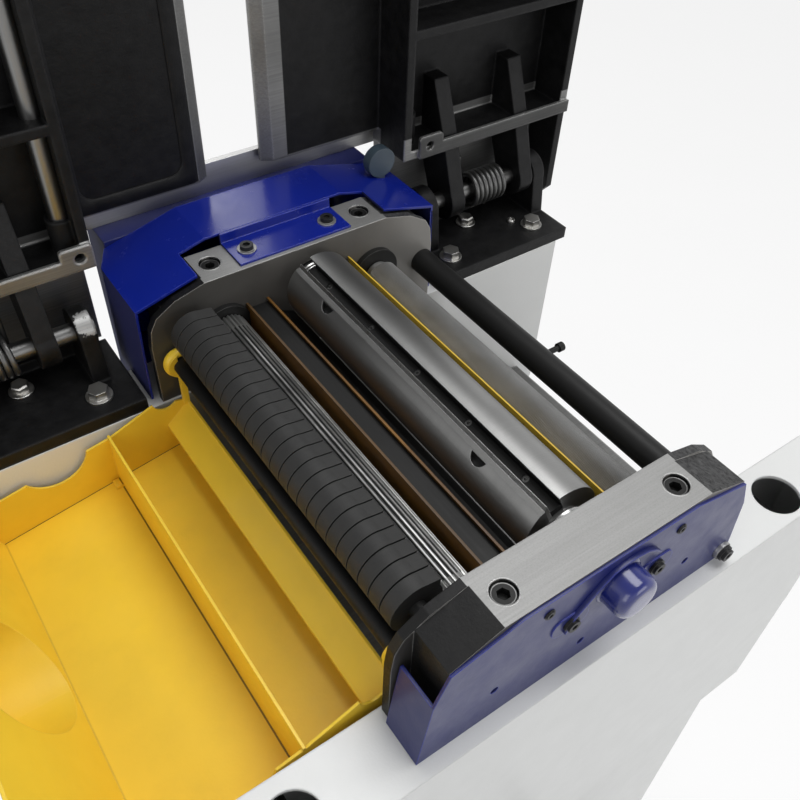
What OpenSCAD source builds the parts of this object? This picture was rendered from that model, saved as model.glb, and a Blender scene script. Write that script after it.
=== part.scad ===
/* [Machine] */
// Height of the machined bearing bracket tops above the floor
top_h = 870; // [800:5:950]
// Clear width between the front and the rear bearing bracket
jaw_w = 324; // [300:2:360]
// Length of the two side walls along the feed
wall_len = 606; // [580:2:680]
// Thickness of each side wall box across the feed
wall_t = 54; // [48:1:70]
// Depth of the wall tops below the bracket tops
wall_drop = 103; // [98:1:110]
// Height of each side wall box
wall_h = 199; // [180:1:220]
// Sheet thickness of the wall boxes
wall_skin = 3; // [2:0.5:5]

/* [Cutterblock] */
// Diameter of the cutterblock drum
drum_d = 60; // [54:1:64]
// How far the knives stand out of the drum
knife_out = 1.2; // [0.8:0.1:1.6]
// Cutterblock axis right of the bracket centre
cutter_x = 9; // [4:1:12]
// Depth of the cutterblock axis below the bracket tops
cutter_drop = 31; // [30:0.5:34]
// Diameter of the cutterblock shaft in its bearings
shaft_d = 25; // [22:1:28]
// Outer diameter of the cutterblock bearings
bearing_d = 52; // [47:1:56]
// Number of knives
knife_n = 3; // [2:1:4]
// Width of a knife slot
slot_w = 12; // [10:0.5:13]
// Depth of a knife slot
slot_depth = 17; // [14:0.5:19]
// Radial play of running shafts
run_fit = 0.05; // [0.02:0.01:0.1]

/* [Feed rollers] */
// Diameter of both feed rollers
roller_d = 31; // [28:1:33]
// Distance of the roller axes from the bracket centre
roller_x = 73; // [70:1:76]
// Depth of the roller axes below the bracket tops
roller_drop = 49.5; // [48:0.5:54]
// Number of flutes on the infeed roller
flute_n = 26; // [18:1:32]
// Diameter of the roller journals
journal_d = 18; // [15:1:20]
// Diameter of the black bush flanges on the brackets
collar_d = 45; // [38:1:46]

/* [Kickback fingers] */
// Number of kickback fingers
finger_n = 25; // [10:1:25]
// Distance from finger to finger
finger_pitch = 12; // [11:0.2:12.4]
// Gap between neighbouring fingers
finger_gap = 1.2; // [0.5:0.1:2]
// Diameter of the rod that carries the fingers
finger_rod_d = 12; // [10:1:14]

/* [Tables] */
// Width of the table lips that pass between the brackets
table_w = 310; // [280:2:310]
// Overhang of the tables past the ends of the walls
table_over = 47; // [40:1:110]
// Thickness of the bright table lips
lip_t = 9; // [7:0.5:9.5]
// Half width of the lip stretch between the brackets
lip_len = 146; // [145:1:148]
// Thickness of the table plates
plate_t = 12; // [10:0.5:14]
// Depth of the ribs below the table plates
rib_h = 40; // [25:1:44]
// Thickness of the ribs
rib_t = 8; // [6:0.5:10]
// Height of the left table above the right one
chip_depth = 1; // [0:0.1:2]
// Diameter of the table hinge pins
hinge_d = 16; // [14:1:18]
// Hinge axis behind the machine centre
hinge_y = 225; // [224:1:228]
// Depth of the hinge axis below the bracket tops
hinge_drop = 52; // [50:1:54]
// Coils of each counterbalance spring
coil_n = 7; // [4:1:8]
// Wire diameter of the counterbalance springs
wire_d = 5; // [3.5:0.1:5]

/* [Dust hood] */
// Sheet thickness of the hood
hood_t = 2; // [1.5:0.5:3]
// Outer diameter of the dust spigot
spigot_d = 100; // [80:1:104]
// Length of the dust spigot
spigot_len = 75; // [50:1:100]
// Diameter of the hood pivot rod
hood_rod_d = 14; // [12:1:16]

/* [Thicknessing bed] */
// Length of the bed along the feed
bed_len = 550; // [500:2:560]
// Gap between bed and side walls
bed_gap = 2; // [1.5:0.5:4]
// Height of the lowered bed surface above the cabinet deck
bed_up = 37; // [35:1:47]
// Rise of the bed below the opened hood
bed_rise = 85; // [60:1:85]
// Outer diameter of the lifting column
column_d = 76; // [70:1:80]

/* [Cabinet] */
// Length of the cabinet along the feed
cab_len = 530; // [500:2:560]
// Depth of the cabinet
cab_w = 412; // [400:2:416]
// Sheet thickness of the cabinet
cab_t = 3; // [2:0.5:4]
// Diameter of the floor bolt holes
foot_hole_d = 12; // [9:0.5:14]
// Length between the floor bolt holes
foot_dx = 490; // [460:2:494]
// Width between the floor bolt holes
foot_dy = 372; // [340:2:376]
// Diameter of the motor body
motor_d = 140; // [120:2:150]
// Height of the motor axis
motor_z = 120; // [115:1:125]

/* [Controls] */
// Outer diameter of the handwheel
handwheel_d = 170; // [140:2:200]
// Height of the handwheel axis
handwheel_z = 275; // [270:1:280]
// Travel of the push buttons
button_travel = 3; // [2:0.5:4]
// Diameter of the push buttons
button_d = 22; // [20:1:26]

/* [Hidden] */

$fn = 64;
eps = 0.01;
seat_gap = 0.3;
loop_steps = 32;
blue = "#1a2f9c";
deep_blue = "#101c5c";
yellow = "#efb51e";
white = "#e6e7e6";
machined = "#a9aaa8";
steel = "#bfc2c4";
black = "#1b1b1c";
charcoal = "#303132";

jaw = jaw_w / 2;
wall_top = top_h - wall_drop;
wall_foot = wall_top - wall_h;
wall_in = jaw - 2;
wall_out = wall_in + wall_t;
wall_x = wall_len / 2;
deck_z = wall_foot;
bed_z = deck_z + bed_up;

drum_r = drum_d / 2;
knife_r = drum_r + knife_out;
shaft_r = shaft_d / 2;
cutter_z = top_h - cutter_drop;
drum_y = jaw - 12;
bearing_r = bearing_d / 2;
bearing_w = 15;
table_top = cutter_z + knife_r;

roller_r = roller_d / 2;
roller_z = top_h - roller_drop;
journal_r = journal_d / 2;
collar_r = collar_d / 2;
collar_t = 5;
sleeve_r = journal_r + 5;
sleeve_len = 24;

flange_t = 7;
block_t = 39;
block_out = jaw + block_t;
web_t = 12;
screw_x = 71;
screw_y = jaw + 21.3;
screw_head_r = 8;
screw_head_h = 10;
screw_sink = 12;
strip_screw_x = 38;
strip_screw_y = jaw + 20;
strip_screw_r = 3;

finger_x = -105;
finger_z = top_h - 31;
finger_rod_r = finger_rod_d / 2;
finger_nose_r = 19.3;
finger_t = finger_pitch - finger_gap;

hood_rod_x = -119;
hood_rod_z = top_h - 62;
hood_rod_r = hood_rod_d / 2;
tie_x = 127;
tie_z = top_h - 60;
tie_r = 11.5;
tie_tenon_r = 6;
tie_tenon_len = flange_t + 1.5;
rod_seat = flange_t - 0.5;

hinge_z = top_h - hinge_drop;
hinge_r = hinge_d / 2;
ear_r = hinge_r + 12;
cover_x = 144;
base_x0 = cover_x + 6;
pin_x0 = base_x0 + 12;
pin_x1 = wall_x + 15;
ear_in_x = base_x0 + 15;
ear_out_x = wall_x - 1;
ear_t = 14;
arm_t = 16;
arm_out_x = wall_x - 19;
spring_room = 72;
arm_in_x = max(ear_in_x + ear_t + 2, arm_out_x - spring_room - arm_t);
base_x1 = wall_x + 13;
base_t = 12;
base_y1 = 250;
hinge_bolt_pts = [[181, 184], [wall_x - 16, 184]];

lip_edge = 26;
table_end = wall_x + table_over;
table_front = wall_out - 9;
table_rear = 169;
skirt_x = base_x0 - 1;
skirt_y = hinge_y + 48;
lock_x = 217;
lock_bar_x = 161;
lock_bar_z = table_top - plate_t - 20;
lock_bar_r = 8;
lock_bar_y1 = 138;
lock_y0 = wall_out + 4;
strip_t = 4;
catch_y = 190;
catch_hole_r = 19;
catch_pin_r = 7;
catch_pin_z = wall_top - 27;
tongue_r = 13;

cab_x = cab_len / 2;
cab_y = cab_w / 2;
guard_x = 130;
guard_y1 = 300;
cover_y1 = 257;
sheet_t = 2;
cutter_pulley_r = 22;
motor_pulley_r = 45;
belt_t = 3;
belt_w = 16;
belt_y = 268;
rotor_r = 12;
end_bolt_x = 130;
end_bolt_z = top_h - 92;
end_bolt_r = 5;
pad_x = [-29, 45];
pad_z = top_h - 43;
buffer_x = 124;
buffer_y = 225;
buffer_w = 8;
guard_top = top_h - 2;
rail_y = guard_y1 - 19;
rail_t = 6;
rail_h = 28;
rail_over = 90;

column_r = column_d / 2;
column_bore_r = 22;
screw_r = 9;
bed_t = 12;
bed_bottom = deck_z + 3;
bed_y = wall_in - bed_gap;
column_z0 = 330;
guide_z0 = column_z0 + bed_rise + 5;
gear_w = 80;
gear_z0 = 235;
gear_z1 = 315;
wheel_shaft_r = 8;
wheel_y = -cab_y - 40;
shelf_z = 40;
motor_y0 = -20;
motor_y1 = 150;
motor_end = 20;
cable_x = cab_x - 85;
cable_z = 100;
panel_y = 150;
panel_z0 = 60;
panel_z1 = 440;
panel_rim = 15;
apron_t = 8;
apron_foot = wall_foot - 128;
box_x = -wall_x + 113;
box_z = apron_foot + 75;
box_y = -wall_out;
box_depth = 36;

sprocket_r = 16;
driver_x = 0;
driver_z = top_h - 80;
driver_r = 14;
chain_t = 3;
chain_w = 5;
chain_y = [240.5, 248];
gearbox_y0 = 203;
gearbox_y1 = 238;

// Points given by their depth below the bracket tops.
function lifted(pts) = [for (p = pts) [p[0], top_h + p[1]]];

// Extrudes an outline drawn in X and Z along Y.
module along_y(y0, y1) {
    translate([0, y1, 0])
        rotate([90, 0, 0])
            linear_extrude(y1 - y0)
                children();
}

// Extrudes an outline drawn in Y and Z along X.
module along_x(x0, x1) {
    translate([x0, 0, 0])
        rotate([90, 0, 90])
            linear_extrude(x1 - x0)
                children();
}

module rod_y(r, y0, y1, x, z) {
    translate([x, y0, z])
        rotate([-90, 0, 0])
            cylinder(h = y1 - y0, r = r);
}

module rod_x(r, x0, x1, y, z) {
    translate([x0, y, z])
        rotate([0, 90, 0])
            cylinder(h = x1 - x0, r = r);
}

module rod_z(r, z0, z1, x, y) {
    translate([x, y, z0])
        cylinder(h = z1 - z0, r = r);
}

module block(x0, x1, y0, y1, z0, z1) {
    translate([x0, y0, z0])
        cube([x1 - x0, y1 - y0, z1 - z0]);
}

// Rectangle with round corners of one radius.
module round_rect(x0, y0, x1, y1, r) {
    translate([x0 + r, y0])
        square([x1 - x0 - 2 * r, y1 - y0]);
    translate([x0, y0 + r])
        square([x1 - x0, y1 - y0 - 2 * r]);
    for (x = [x0 + r, x1 - r], y = [y0 + r, y1 - r])
        translate([x, y])
            circle(r);
}

// Mirrors the rear copy of a part to the front as well.
module front_and_rear() {
    children();
    mirror([0, 1, 0])
        children();
}

module left_and_right() {
    children();
    mirror([1, 0, 0])
        children();
}

// Points along an arc, and the outline of a loop that runs round two wheels.
function arc_pts(c, r, a0, a1) = [for (i = [0:loop_steps]) let (a = a0 + (a1 - a0) * i / loop_steps)
    c + r * [cos(a), sin(a)]];
module loop_outline(p, rp, q, rq) {
    a = atan2(q[1] - p[1], q[0] - p[0]);
    b = acos((rp - rq) / norm(q - p));
    polygon(concat(arc_pts(p, rp, a + b, a + 360 - b), arc_pts(q, rq, a - b, a + b)));
}

module loop_band(p, rp, q, rq, t, y0, y1) {
    along_y(y0, y1)
        difference() {
            loop_outline(p, rp + seat_gap + t, q, rq + seat_gap + t);
            loop_outline(p, rp + seat_gap, q, rq + seat_gap);
        }
}

// Cap screw with a hexagon socket, head up, its shank ending at z1 - len.
module cap_screw(head_r, head_h, shank_r, len) {
    difference() {
        cylinder(h = head_h, r = head_r);
        translate([0, 0, head_h * 0.4])
            cylinder(h = head_h, r = head_r * 0.55, $fn = 6);
    }
    translate([0, 0, -len])
        cylinder(h = len + eps, r = shank_r);
}

// Button head screw that points along minus Y.
module button_screw(x, y, z, r, h) {
    translate([x, y, z])
        rotate([90, 0, 0])
            difference() {
                union() {
                    cylinder(h = h * 0.5, r = r);
                    cylinder(h = h, r = r * 0.8);
                }
                translate([0, 0, h * 0.4])
                    cylinder(h = h, r = r * 0.4, $fn = 6);
            }
}

// Sheet cabinet with a deck, a flange with floor bolt holes, a motor shelf and a gearbox beam.
module base_cabinet() {
    color(white)
        difference() {
            union() {
                difference() {
                    block(-cab_x, cab_x, -cab_y, cab_y, 0, deck_z);
                    block(-cab_x + cab_t, cab_x - cab_t, -cab_y + cab_t, cab_y - cab_t, 4, deck_z - cab_t);
                    block(-cab_x + 38, cab_x - 38, -cab_y + 38, cab_y - 38, -1, 5);
                }
                block(-cab_x + eps, cab_x - eps, motor_y0 - 10, cab_y - eps, shelf_z, shelf_z + 4);
                block(-cab_x + eps, cab_x - eps, -gear_w / 2, gear_w / 2, gear_z0 - 8, gear_z0);
            }
            for (x = [-1, 1], y = [-1, 1])
                rod_z(foot_hole_d / 2, -1, 5, x * foot_dx / 2, y * foot_dy / 2);
            rod_z(column_r + 12 + seat_gap, deck_z - cab_t - 1, deck_z + 1, 0, 0);
            rod_y(30, cab_y - cab_t - 1, cab_y + 1, cutter_x, motor_z);
            rod_y(wheel_shaft_r + run_fit, -cab_y - 1, -cab_y + cab_t + 1, 0, handwheel_z);
            rod_y(11, cab_y - cab_t - 1, cab_y + 1, cable_x, cable_z);
            for (z = [[panel_z0 + panel_rim, handwheel_z - 70], [handwheel_z - 20, panel_z1 - panel_rim]])
                block(-cab_x - 1, -cab_x + cab_t + 1, panel_rim - panel_y, panel_y - panel_rim, z[0], z[1]);
        }
}

module access_panel() {
    color(white)
        difference() {
            union() {
                block(-cab_x - sheet_t, -cab_x, -panel_y, panel_y, panel_z0, panel_z1);
                for (y = [8 - panel_y, panel_y - 8], z = [panel_z0 + 8, panel_z1 - 8])
                    rod_x(5, -cab_x - sheet_t - 3, -cab_x - sheet_t + eps, y, z);
            }
            for (i = [0:4], y = [-55, 55])
                block(-cab_x - sheet_t - 1, -cab_x + 1, y - 40, y + 40, 290 + 24 * i, 297 + 24 * i);
        }
}

// Closed box of one side wall with round lower corners.
module wall_box(foot) {
    along_y(wall_in, wall_out)
        round_rect(-wall_x, foot, wall_x, wall_top, 10);
    along_y(wall_in, wall_out)
        translate([-wall_x, wall_top - 30])
            square([wall_len, 30]);
}

module wall_hollow() {
    along_y(wall_in + wall_skin, wall_out - wall_skin)
        translate([-wall_x + wall_skin, wall_foot + wall_skin])
            square([wall_len - 2 * wall_skin, wall_h - 2 * wall_skin]);
}

module front_wall() {
    color(white)
        difference() {
            mirror([0, 1, 0])
                difference() {
                    union() {
                        wall_box(wall_foot);
                        along_y(wall_out - apron_t, wall_out)
                            polygon([[-wall_x, wall_foot + 40], [wall_x, wall_foot + 40],
                                [wall_x - 9, apron_foot], [-wall_x + 9, apron_foot]]);
                    }
                    wall_hollow();
                }
            left_and_right()
                rod_z(catch_hole_r, wall_top - wall_skin - 1, wall_top + 1, lock_x, -catch_y);
            left_and_right()
                rod_y(catch_pin_r, -wall_out + 1, -wall_in + 1, lock_x, catch_pin_z);
        }
}

module rear_wall() {
    color(white)
        difference() {
            wall_box(wall_foot);
            wall_hollow();
            left_and_right()
                for (p = hinge_bolt_pts)
                    rod_z(5, wall_top - wall_skin - 1, wall_top + 1, p[0], p[1]);
        }
}

flange_pts = [[86, 0], [112, -7], [129, -17.5], [135, -28], [137, -45], [137, -wall_drop]];
block_pts = [[85, 0], [122, -13], [122, -wall_drop]];

module half_outline(pts) {
    n = len(pts);
    polygon(concat([for (p = pts) [p[0], top_h + p[1]]],
        [for (i = [n - 1:-1:0]) [-pts[i][0], top_h + pts[i][1]]]));
}

// Bearing bracket as it stands at the rear, bored for cutterblock, rollers and rods.
module bracket(through) {
    difference() {
        union() {
            along_y(jaw, jaw + flange_t + eps)
                half_outline(flange_pts);
            along_y(jaw + flange_t, block_out)
                half_outline(block_pts);
        }
        rod_y(shaft_r + 3.5, jaw - 1, block_out + 1, cutter_x, cutter_z);
        rod_y(bearing_r, jaw + web_t, block_out + 1, cutter_x, cutter_z);
        for (x = [-roller_x, roller_x])
            rod_y(sleeve_r, jaw - 1, jaw + sleeve_len, x, roller_z);
        if (through) {
            for (x = [-roller_x, roller_x])
                rod_y(journal_r + 1, jaw, block_out + 1, x, roller_z);
            for (x = [-strip_screw_x, strip_screw_x])
                rod_z(strip_screw_r, top_h - 13, top_h + 1, x, strip_screw_y);
        }
        rod_y(hood_rod_r, jaw - 1, jaw + rod_seat, hood_rod_x, hood_rod_z);
        rod_y(finger_rod_r, jaw - 1, jaw + rod_seat, finger_x, finger_z);
        rod_y(tie_tenon_r, jaw - 1, jaw + tie_tenon_len, tie_x, tie_z);
        for (x = [-screw_x, screw_x]) {
            rod_z(screw_head_r + 0.75, top_h - screw_sink, top_h + 1, x, screw_y);
            rod_z(5, top_h - 31, top_h, x, screw_y);
        }
    }
}

module front_bracket() {
    color(machined)
        mirror([0, 1, 0])
            bracket(false);
}

module rear_bracket() {
    color(machined)
        bracket(true);
}

cover_pts = [[72, -2], [122, -14], [132, -40], [140, -wall_drop + 0.5]];
cover_fold = [[130, -40], [132, -40], [140, -wall_drop + 0.5], [138, -wall_drop + 0.5]];

// Blue sheet on the front bracket, with its right edge folded back.
module front_cover() {
    y0 = -block_out - sheet_t;
    color(blue)
        difference() {
            union() {
                along_y(y0, -block_out)
                    half_outline(cover_pts);
                left_and_right()
                    along_y(y0, -block_out + 30)
                        polygon([for (p = cover_fold) [p[0], top_h + p[1]]]);
                for (x = pad_x)
                    along_y(y0 - 1, y0 + eps)
                        round_rect(x - 15, pad_z - 9, x + 15, pad_z + 9, 8);
            }
            rod_y(14, y0 - 2, -block_out + 1, cutter_x, cutter_z);
            for (p = [[-84, -70], [84, -70], [-10, -84], [28, -84]])
                rod_y(3, y0 - 2, -block_out + 1, p[0], top_h + p[1]);
            rod_y(end_bolt_r + 0.1, y0 - 2, -block_out + 1, end_bolt_x, end_bolt_z);
        }
}

module bearing_cap() {
    y0 = -block_out - sheet_t;
    color(blue) {
        rod_y(16.5, y0 - 15, y0, cutter_x, cutter_z);
        rod_y(14.5, y0 - 18, y0 - 15 + eps, cutter_x, cutter_z);
        rod_y(10, y0 - 19.5, y0 - 18 + eps, cutter_x, cutter_z);
        rod_y(13.7, y0 - eps, -block_out + 6, cutter_x, cutter_z);
    }
}

// Outline of the drive cover, drawn inwards by t.
function drive_pts(t) = [[65 - t / 3, 10 - t], [cover_x - 2 - t, -10.5 - t], [cover_x - t, -wall_drop + 0.5]];
module drive_plan(t) {
    y = cover_y1 - 24;
    polygon([[-cover_x + t, jaw - 12], [cover_x - t, jaw - 12], [cover_x - t, y], [cover_x - 13 - t / 2, cover_y1 - t],
        [-cover_x + 13 + t / 2, cover_y1 - t], [-cover_x + t, y]]);
}

module drive_solid(t, drop) {
    intersection() {
        along_y(jaw + flange_t + 0.3, cover_y1)
            half_outline(concat(drive_pts(t), [[cover_x - t, -wall_drop - drop]]));
        translate([0, 0, wall_top - 10])
            linear_extrude(wall_drop + 30)
                drive_plan(t);
    }
}

module buffer_stem() {
    w = buffer_w / 2;
    block(buffer_x - w, buffer_x + w, buffer_y + 1, buffer_y + 1 + buffer_w, top_h - 12, top_h);
}

module drive_cover() {
    color(blue)
        difference() {
            drive_solid(0, -0.5);
            difference() {
                drive_solid(sheet_t, 5);
                block(-200, 200, cover_y1 - sheet_t, cover_y1 + 1, 0, 2 * top_h);
            }
            block(-cover_x + sheet_t, cover_x - sheet_t, jaw, jaw + flange_t + 1, 0, top_h - 16);
            block(-88, 88, jaw, block_out + 2, wall_top, top_h + 20);
            rod_y(shaft_r + 12, cover_y1 - sheet_t - 1, cover_y1 + 1, cutter_x, cutter_z);
            buffer_stem();
        }
}

// Small blue strip on the rear bracket between its two pressure screws.
module cover_strip() {
    color(blue) {
        difference() {
            block(-52, 52, jaw + 4, block_out + 1.5, top_h, top_h + 2);
            for (x = [-strip_screw_x, strip_screw_x])
                rod_z(strip_screw_r, top_h - 1, top_h + 3, x, strip_screw_y);
        }
        along_x(-52, 52)
            polygon([[block_out - 1, top_h + 1], [block_out + 1.5, top_h + 1], [block_out + 1.5, top_h + 10],
                [block_out - 0.5, top_h + 10]]);
    }
}

module guard_side(t) {
    polygon([[cab_y + seat_gap, 55 + t], [guard_y1 - t, 55 + t], [guard_y1 - t, guard_top - t],
        [cover_y1 + seat_gap + t, guard_top - t], [cover_y1 + seat_gap + t, wall_top - 2 - t],
        [wall_out + seat_gap, wall_top - 2 - t], [wall_out + seat_gap, deck_z - 2],
        [cab_y + seat_gap, deck_z - 2]]);
}

module belt_guard() {
    color(deep_blue)
        difference() {
            along_x(-guard_x, guard_x)
                guard_side(0);
            along_x(-guard_x + sheet_t, guard_x - sheet_t)
                guard_side(sheet_t);
            rod_y(shaft_r + 12, cover_y1 - 1, cover_y1 + sheet_t + 1, cutter_x, cutter_z);
            for (i = [0:5])
                block(-50, 50, guard_y1 - 3, guard_y1 + 1, 380 + 26 * i, 387 + 26 * i);
        }
}

// Cast hinge base as it stands on the right, with two ears for the pin.
module hinge_base() {
    difference() {
        union() {
            block(base_x0, base_x1, wall_in + 1, base_y1, wall_top, wall_top + base_t);
            for (x = [ear_in_x, ear_out_x]) {
                along_x(x, x + ear_t)
                    polygon([[200, wall_top + base_t - 1], [base_y1, wall_top + base_t - 1],
                        [hinge_y + ear_r - 1, hinge_z + 6], [hinge_y - ear_r + 1, hinge_z + 6]]);
                rod_x(ear_r, x, x + ear_t, hinge_y, hinge_z);
            }
            along_y(base_y1 - 6, base_y1)
                polygon([[ear_in_x + ear_t - 1, wall_top + base_t - 1], [ear_out_x + 1, wall_top + base_t - 1],
                    [ear_out_x + 1, wall_top + 40], [ear_out_x - 25, wall_top + 22],
                    [ear_in_x + ear_t + 25, wall_top + 22], [ear_in_x + ear_t - 1, wall_top + 40]]);
        }
        for (p = hinge_bolt_pts)
            rod_z(5, wall_top - 1, wall_top + base_t + 1, p[0], p[1]);
        rod_x(hinge_r, base_x0, base_x1 + 1, hinge_y, hinge_z);
    }
}

module infeed_hinge_base() {
    color(black)
        hinge_base();
}

module outfeed_hinge_base() {
    color(black)
        mirror([1, 0, 0])
            hinge_base();
}

module hinge_pins() {
    color(steel)
        left_and_right()
            rod_x(hinge_r, pin_x0, pin_x1, hinge_y, hinge_z);
}

// Torsion spring round the hinge pin: coils by formula, with a straight leg at each end.
spring_mid_x = (arm_in_x + arm_t + arm_out_x) / 2;
spring_r = 15.5;
spring_pitch = wire_d + 0.7;
spring_len = coil_n * spring_pitch;
spring_rings = 8 * coil_n;
leg_down = hinge_z - wall_top - base_t - seat_gap;
leg_up = 30;
function coil_point(i) = [spring_mid_x - spring_len / 2 + spring_len * i / spring_rings,
    hinge_y + spring_r * cos(360 * i * coil_n / spring_rings),
    hinge_z - spring_r * sin(360 * i * coil_n / spring_rings)];
function start_leg(k) = [spring_mid_x - spring_len / 2, hinge_y + spring_r, hinge_z + k];
function end_leg(k) = [spring_mid_x + spring_len / 2, hinge_y + spring_r, hinge_z - k];
coil_path = concat([start_leg(leg_up), start_leg(wire_d)], [for (i = [0:spring_rings]) coil_point(i)],
    [end_leg(wire_d), end_leg(leg_down)]);
function tangent_at(path, i) = let (n = len(path), a = path[max(i - 1, 0)], b = path[min(i + 1, n - 1)])
    (b - a) / norm(b - a);
function ring_at(path, i, r, sides) = let (t = tangent_at(path, i), e = [1, 0, 0] - t * t[0],
    u = e / norm(e), v = cross(t, u))
    [for (k = [0:sides - 1]) path[i] + r * (u * cos(360 * k / sides) + v * sin(360 * k / sides))];
module tube(path, r, sides) {
    n = len(path);
    pts = [for (i = [0:n - 1], p = ring_at(path, i, r, sides)) p];
    faces = concat(
        [[for (k = [0:sides - 1]) k]],
        [for (i = [0:n - 2], k = [0:sides - 1], h = [0, 1]) let (a = i * sides + k,
            b = i * sides + (k + 1) % sides, c = b + sides, d = a + sides) h == 0 ? [a, c, b] : [a, d, c]],
        [[for (k = [sides - 1:-1:0]) (n - 1) * sides + k]]);
    polyhedron(pts, faces);
}
coil_gap = min([for (i = [0:spring_rings - 8]) norm(coil_point(i + 8) - coil_point(i))]) - wire_d;
echo(str("least gap between spring coils in mm: ", coil_gap));

module infeed_spring() {
    color(charcoal)
        tube(coil_path, wire_d / 2, 6);
}

module outfeed_spring() {
    color(charcoal)
        mirror([1, 0, 0])
            tube(coil_path, wire_d / 2, 6);
}

module hood_rod() {
    color(black)
        rod_y(hood_rod_r, -jaw - rod_seat, jaw + rod_seat, hood_rod_x, hood_rod_z);
}

module tie_rod() {
    color(black) {
        rod_y(tie_r, -jaw, jaw, tie_x, tie_z);
        rod_y(tie_tenon_r, -jaw - tie_tenon_len, jaw + tie_tenon_len, tie_x, tie_z);
        translate([tie_x, 0, tie_z])
            rotate([0, 90, 0])
                cylinder(h = tie_r + 14, r = 2.5);
        translate([tie_x + tie_r + 12, 0, tie_z])
            rotate([0, 90, 0])
                cylinder(h = 5, r = 4);
    }
}

module finger_rod() {
    color(steel)
        rod_y(finger_rod_r, -jaw - rod_seat, jaw + rod_seat, finger_x, finger_z);
}

module roller_collars() {
    color(charcoal)
        front_and_rear()
            for (x = [-roller_x, roller_x])
                difference() {
                    union() {
                        rod_y(collar_r, jaw - collar_t, jaw, x, roller_z);
                        rod_y(sleeve_r, jaw - eps, jaw + sleeve_len, x, roller_z);
                    }
                    rod_y(journal_r + run_fit, jaw - collar_t - 1, jaw + sleeve_len + 1, x, roller_z);
                }
}

module cutter_bearings() {
    color(steel)
        front_and_rear()
            difference() {
                rod_y(bearing_r, jaw + web_t, jaw + web_t + bearing_w, cutter_x, cutter_z);
                rod_y(shaft_r + run_fit, jaw, block_out, cutter_x, cutter_z);
                difference() {
                    rod_y(bearing_r - 4, jaw + web_t - 1, jaw + web_t + 1.5, cutter_x, cutter_z);
                    rod_y(shaft_r + 4, jaw, jaw + web_t + 2, cutter_x, cutter_z);
                }
            }
}

// Room round the bush flanges, taken out of what passes them.
module collar_room() {
    front_and_rear()
        for (x = [-roller_x, roller_x])
            rod_y(collar_r + seat_gap, jaw - collar_t - seat_gap, jaw + 1, x, roller_z);
}

// Yellow chip plates: one behind the cutterblock, two on the pressure bar.
module chip_plates() {
    color(yellow)
        difference() {
            along_y(-jaw, jaw) {
                polygon(lifted([[46.2, -25.5], [47.5, -25.5], [51.8, -56], [50.6, -61], [49.3, -61], [50.4, -56]]));
                polygon(lifted([[-53, -34], [-51, -34], [-51, -60], [-53, -60]]));
                polygon(lifted([[-34, -36], [-32, -36], [-27.2, -52.2], [-29.2, -52.2]]));
            }
            collar_room();
        }
}

module pressure_bar() {
    color(charcoal)
        difference() {
            along_y(-jaw, jaw)
                polygon(lifted([[-50.95, -40], [-32.85, -40], [-29.25, -52.4], [-24.5, -52.8], [-17, -57.5],
                    [-9.5, -60.5], [-10, -61], [-38, -61], [-50.95, -56]]));
            collar_room();
        }
}

module pressure_screws() {
    color(black)
        front_and_rear()
            for (x = [-screw_x, screw_x])
                translate([x, screw_y, top_h - screw_sink])
                    cap_screw(screw_head_r, screw_head_h, 4.9, 18);
}

module cover_screws() {
    y0 = -block_out - sheet_t - 1;
    color(black) {
        for (x = pad_x)
            button_screw(x, y0, pad_z, 6, 4);
        button_screw(-51, y0 + 1, top_h - 15, 4, 1.5);
        button_screw(60, y0 + 1, top_h - 16, 4, 1.5);
        rod_y(end_bolt_r, y0 - 2, -jaw - flange_t - 2 * eps, end_bolt_x, end_bolt_z);
        rod_y(end_bolt_r + 2.5, y0 - 2, -block_out - sheet_t, end_bolt_x, end_bolt_z);
        button_screw(end_bolt_x, y0 - 2 + eps, end_bolt_z, end_bolt_r + 1.5, 5);
        for (x = [-strip_screw_x, strip_screw_x])
            translate([x, strip_screw_y, top_h + sheet_t]) {
                cylinder(h = 1.2, r = 8);
                translate([0, 0, 1.2 - eps])
                    cap_screw(5.5, 3.6, strip_screw_r - 0.1, 14);
            }
    }
}

module hinge_bolts() {
    color(steel)
        left_and_right()
            for (p = hinge_bolt_pts)
                translate([p[0], p[1], wall_top + base_t]) {
                    cylinder(h = 2, r = 11);
                    translate([0, 0, 2 - eps])
                        cylinder(h = 7, r = 8.5, $fn = 6);
                    translate([0, 0, -base_t - wall_skin - 6])
                        cylinder(h = base_t + wall_skin + 6 + eps, r = 4.9);
                }
}

module motor() {
    color(charcoal)
        difference() {
            union() {
                rod_y(motor_d / 2, motor_y0, motor_y1, cutter_x, motor_z);
                rod_y(motor_d / 2 - 8, motor_y0 - 8, motor_y0 + eps, cutter_x, motor_z);
                rod_y(motor_d / 2 - 15, motor_y1 - eps, motor_y1 + motor_end, cutter_x, motor_z);
                for (i = [0:17])
                    translate([cutter_x, 0, motor_z])
                        rotate([0, i * 20, 0])
                            block(motor_d / 2 - 2, motor_d / 2 + 5, motor_y0 + 20, motor_y1 - 20, -1, 1);
                block(cutter_x - 60, cutter_x + 60, motor_y0 + 30, motor_y1 - 30, shelf_z + 4, shelf_z + 14);
                block(cutter_x - 40, cutter_x + 40, motor_y0 + 40, motor_y1 - 40, shelf_z + 10, motor_z);
                block(cutter_x + 40, cutter_x + motor_d / 2 + 22, motor_y0 + 55, motor_y0 + 115, motor_z - 30, motor_z + 30);
            }
            rod_y(rotor_r + run_fit, motor_y1 - 30, motor_y1 + motor_end + 1, cutter_x, motor_z);
        }
}

cutter_centre = [cutter_x, cutter_z];
motor_centre = [cutter_x, motor_z];

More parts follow.
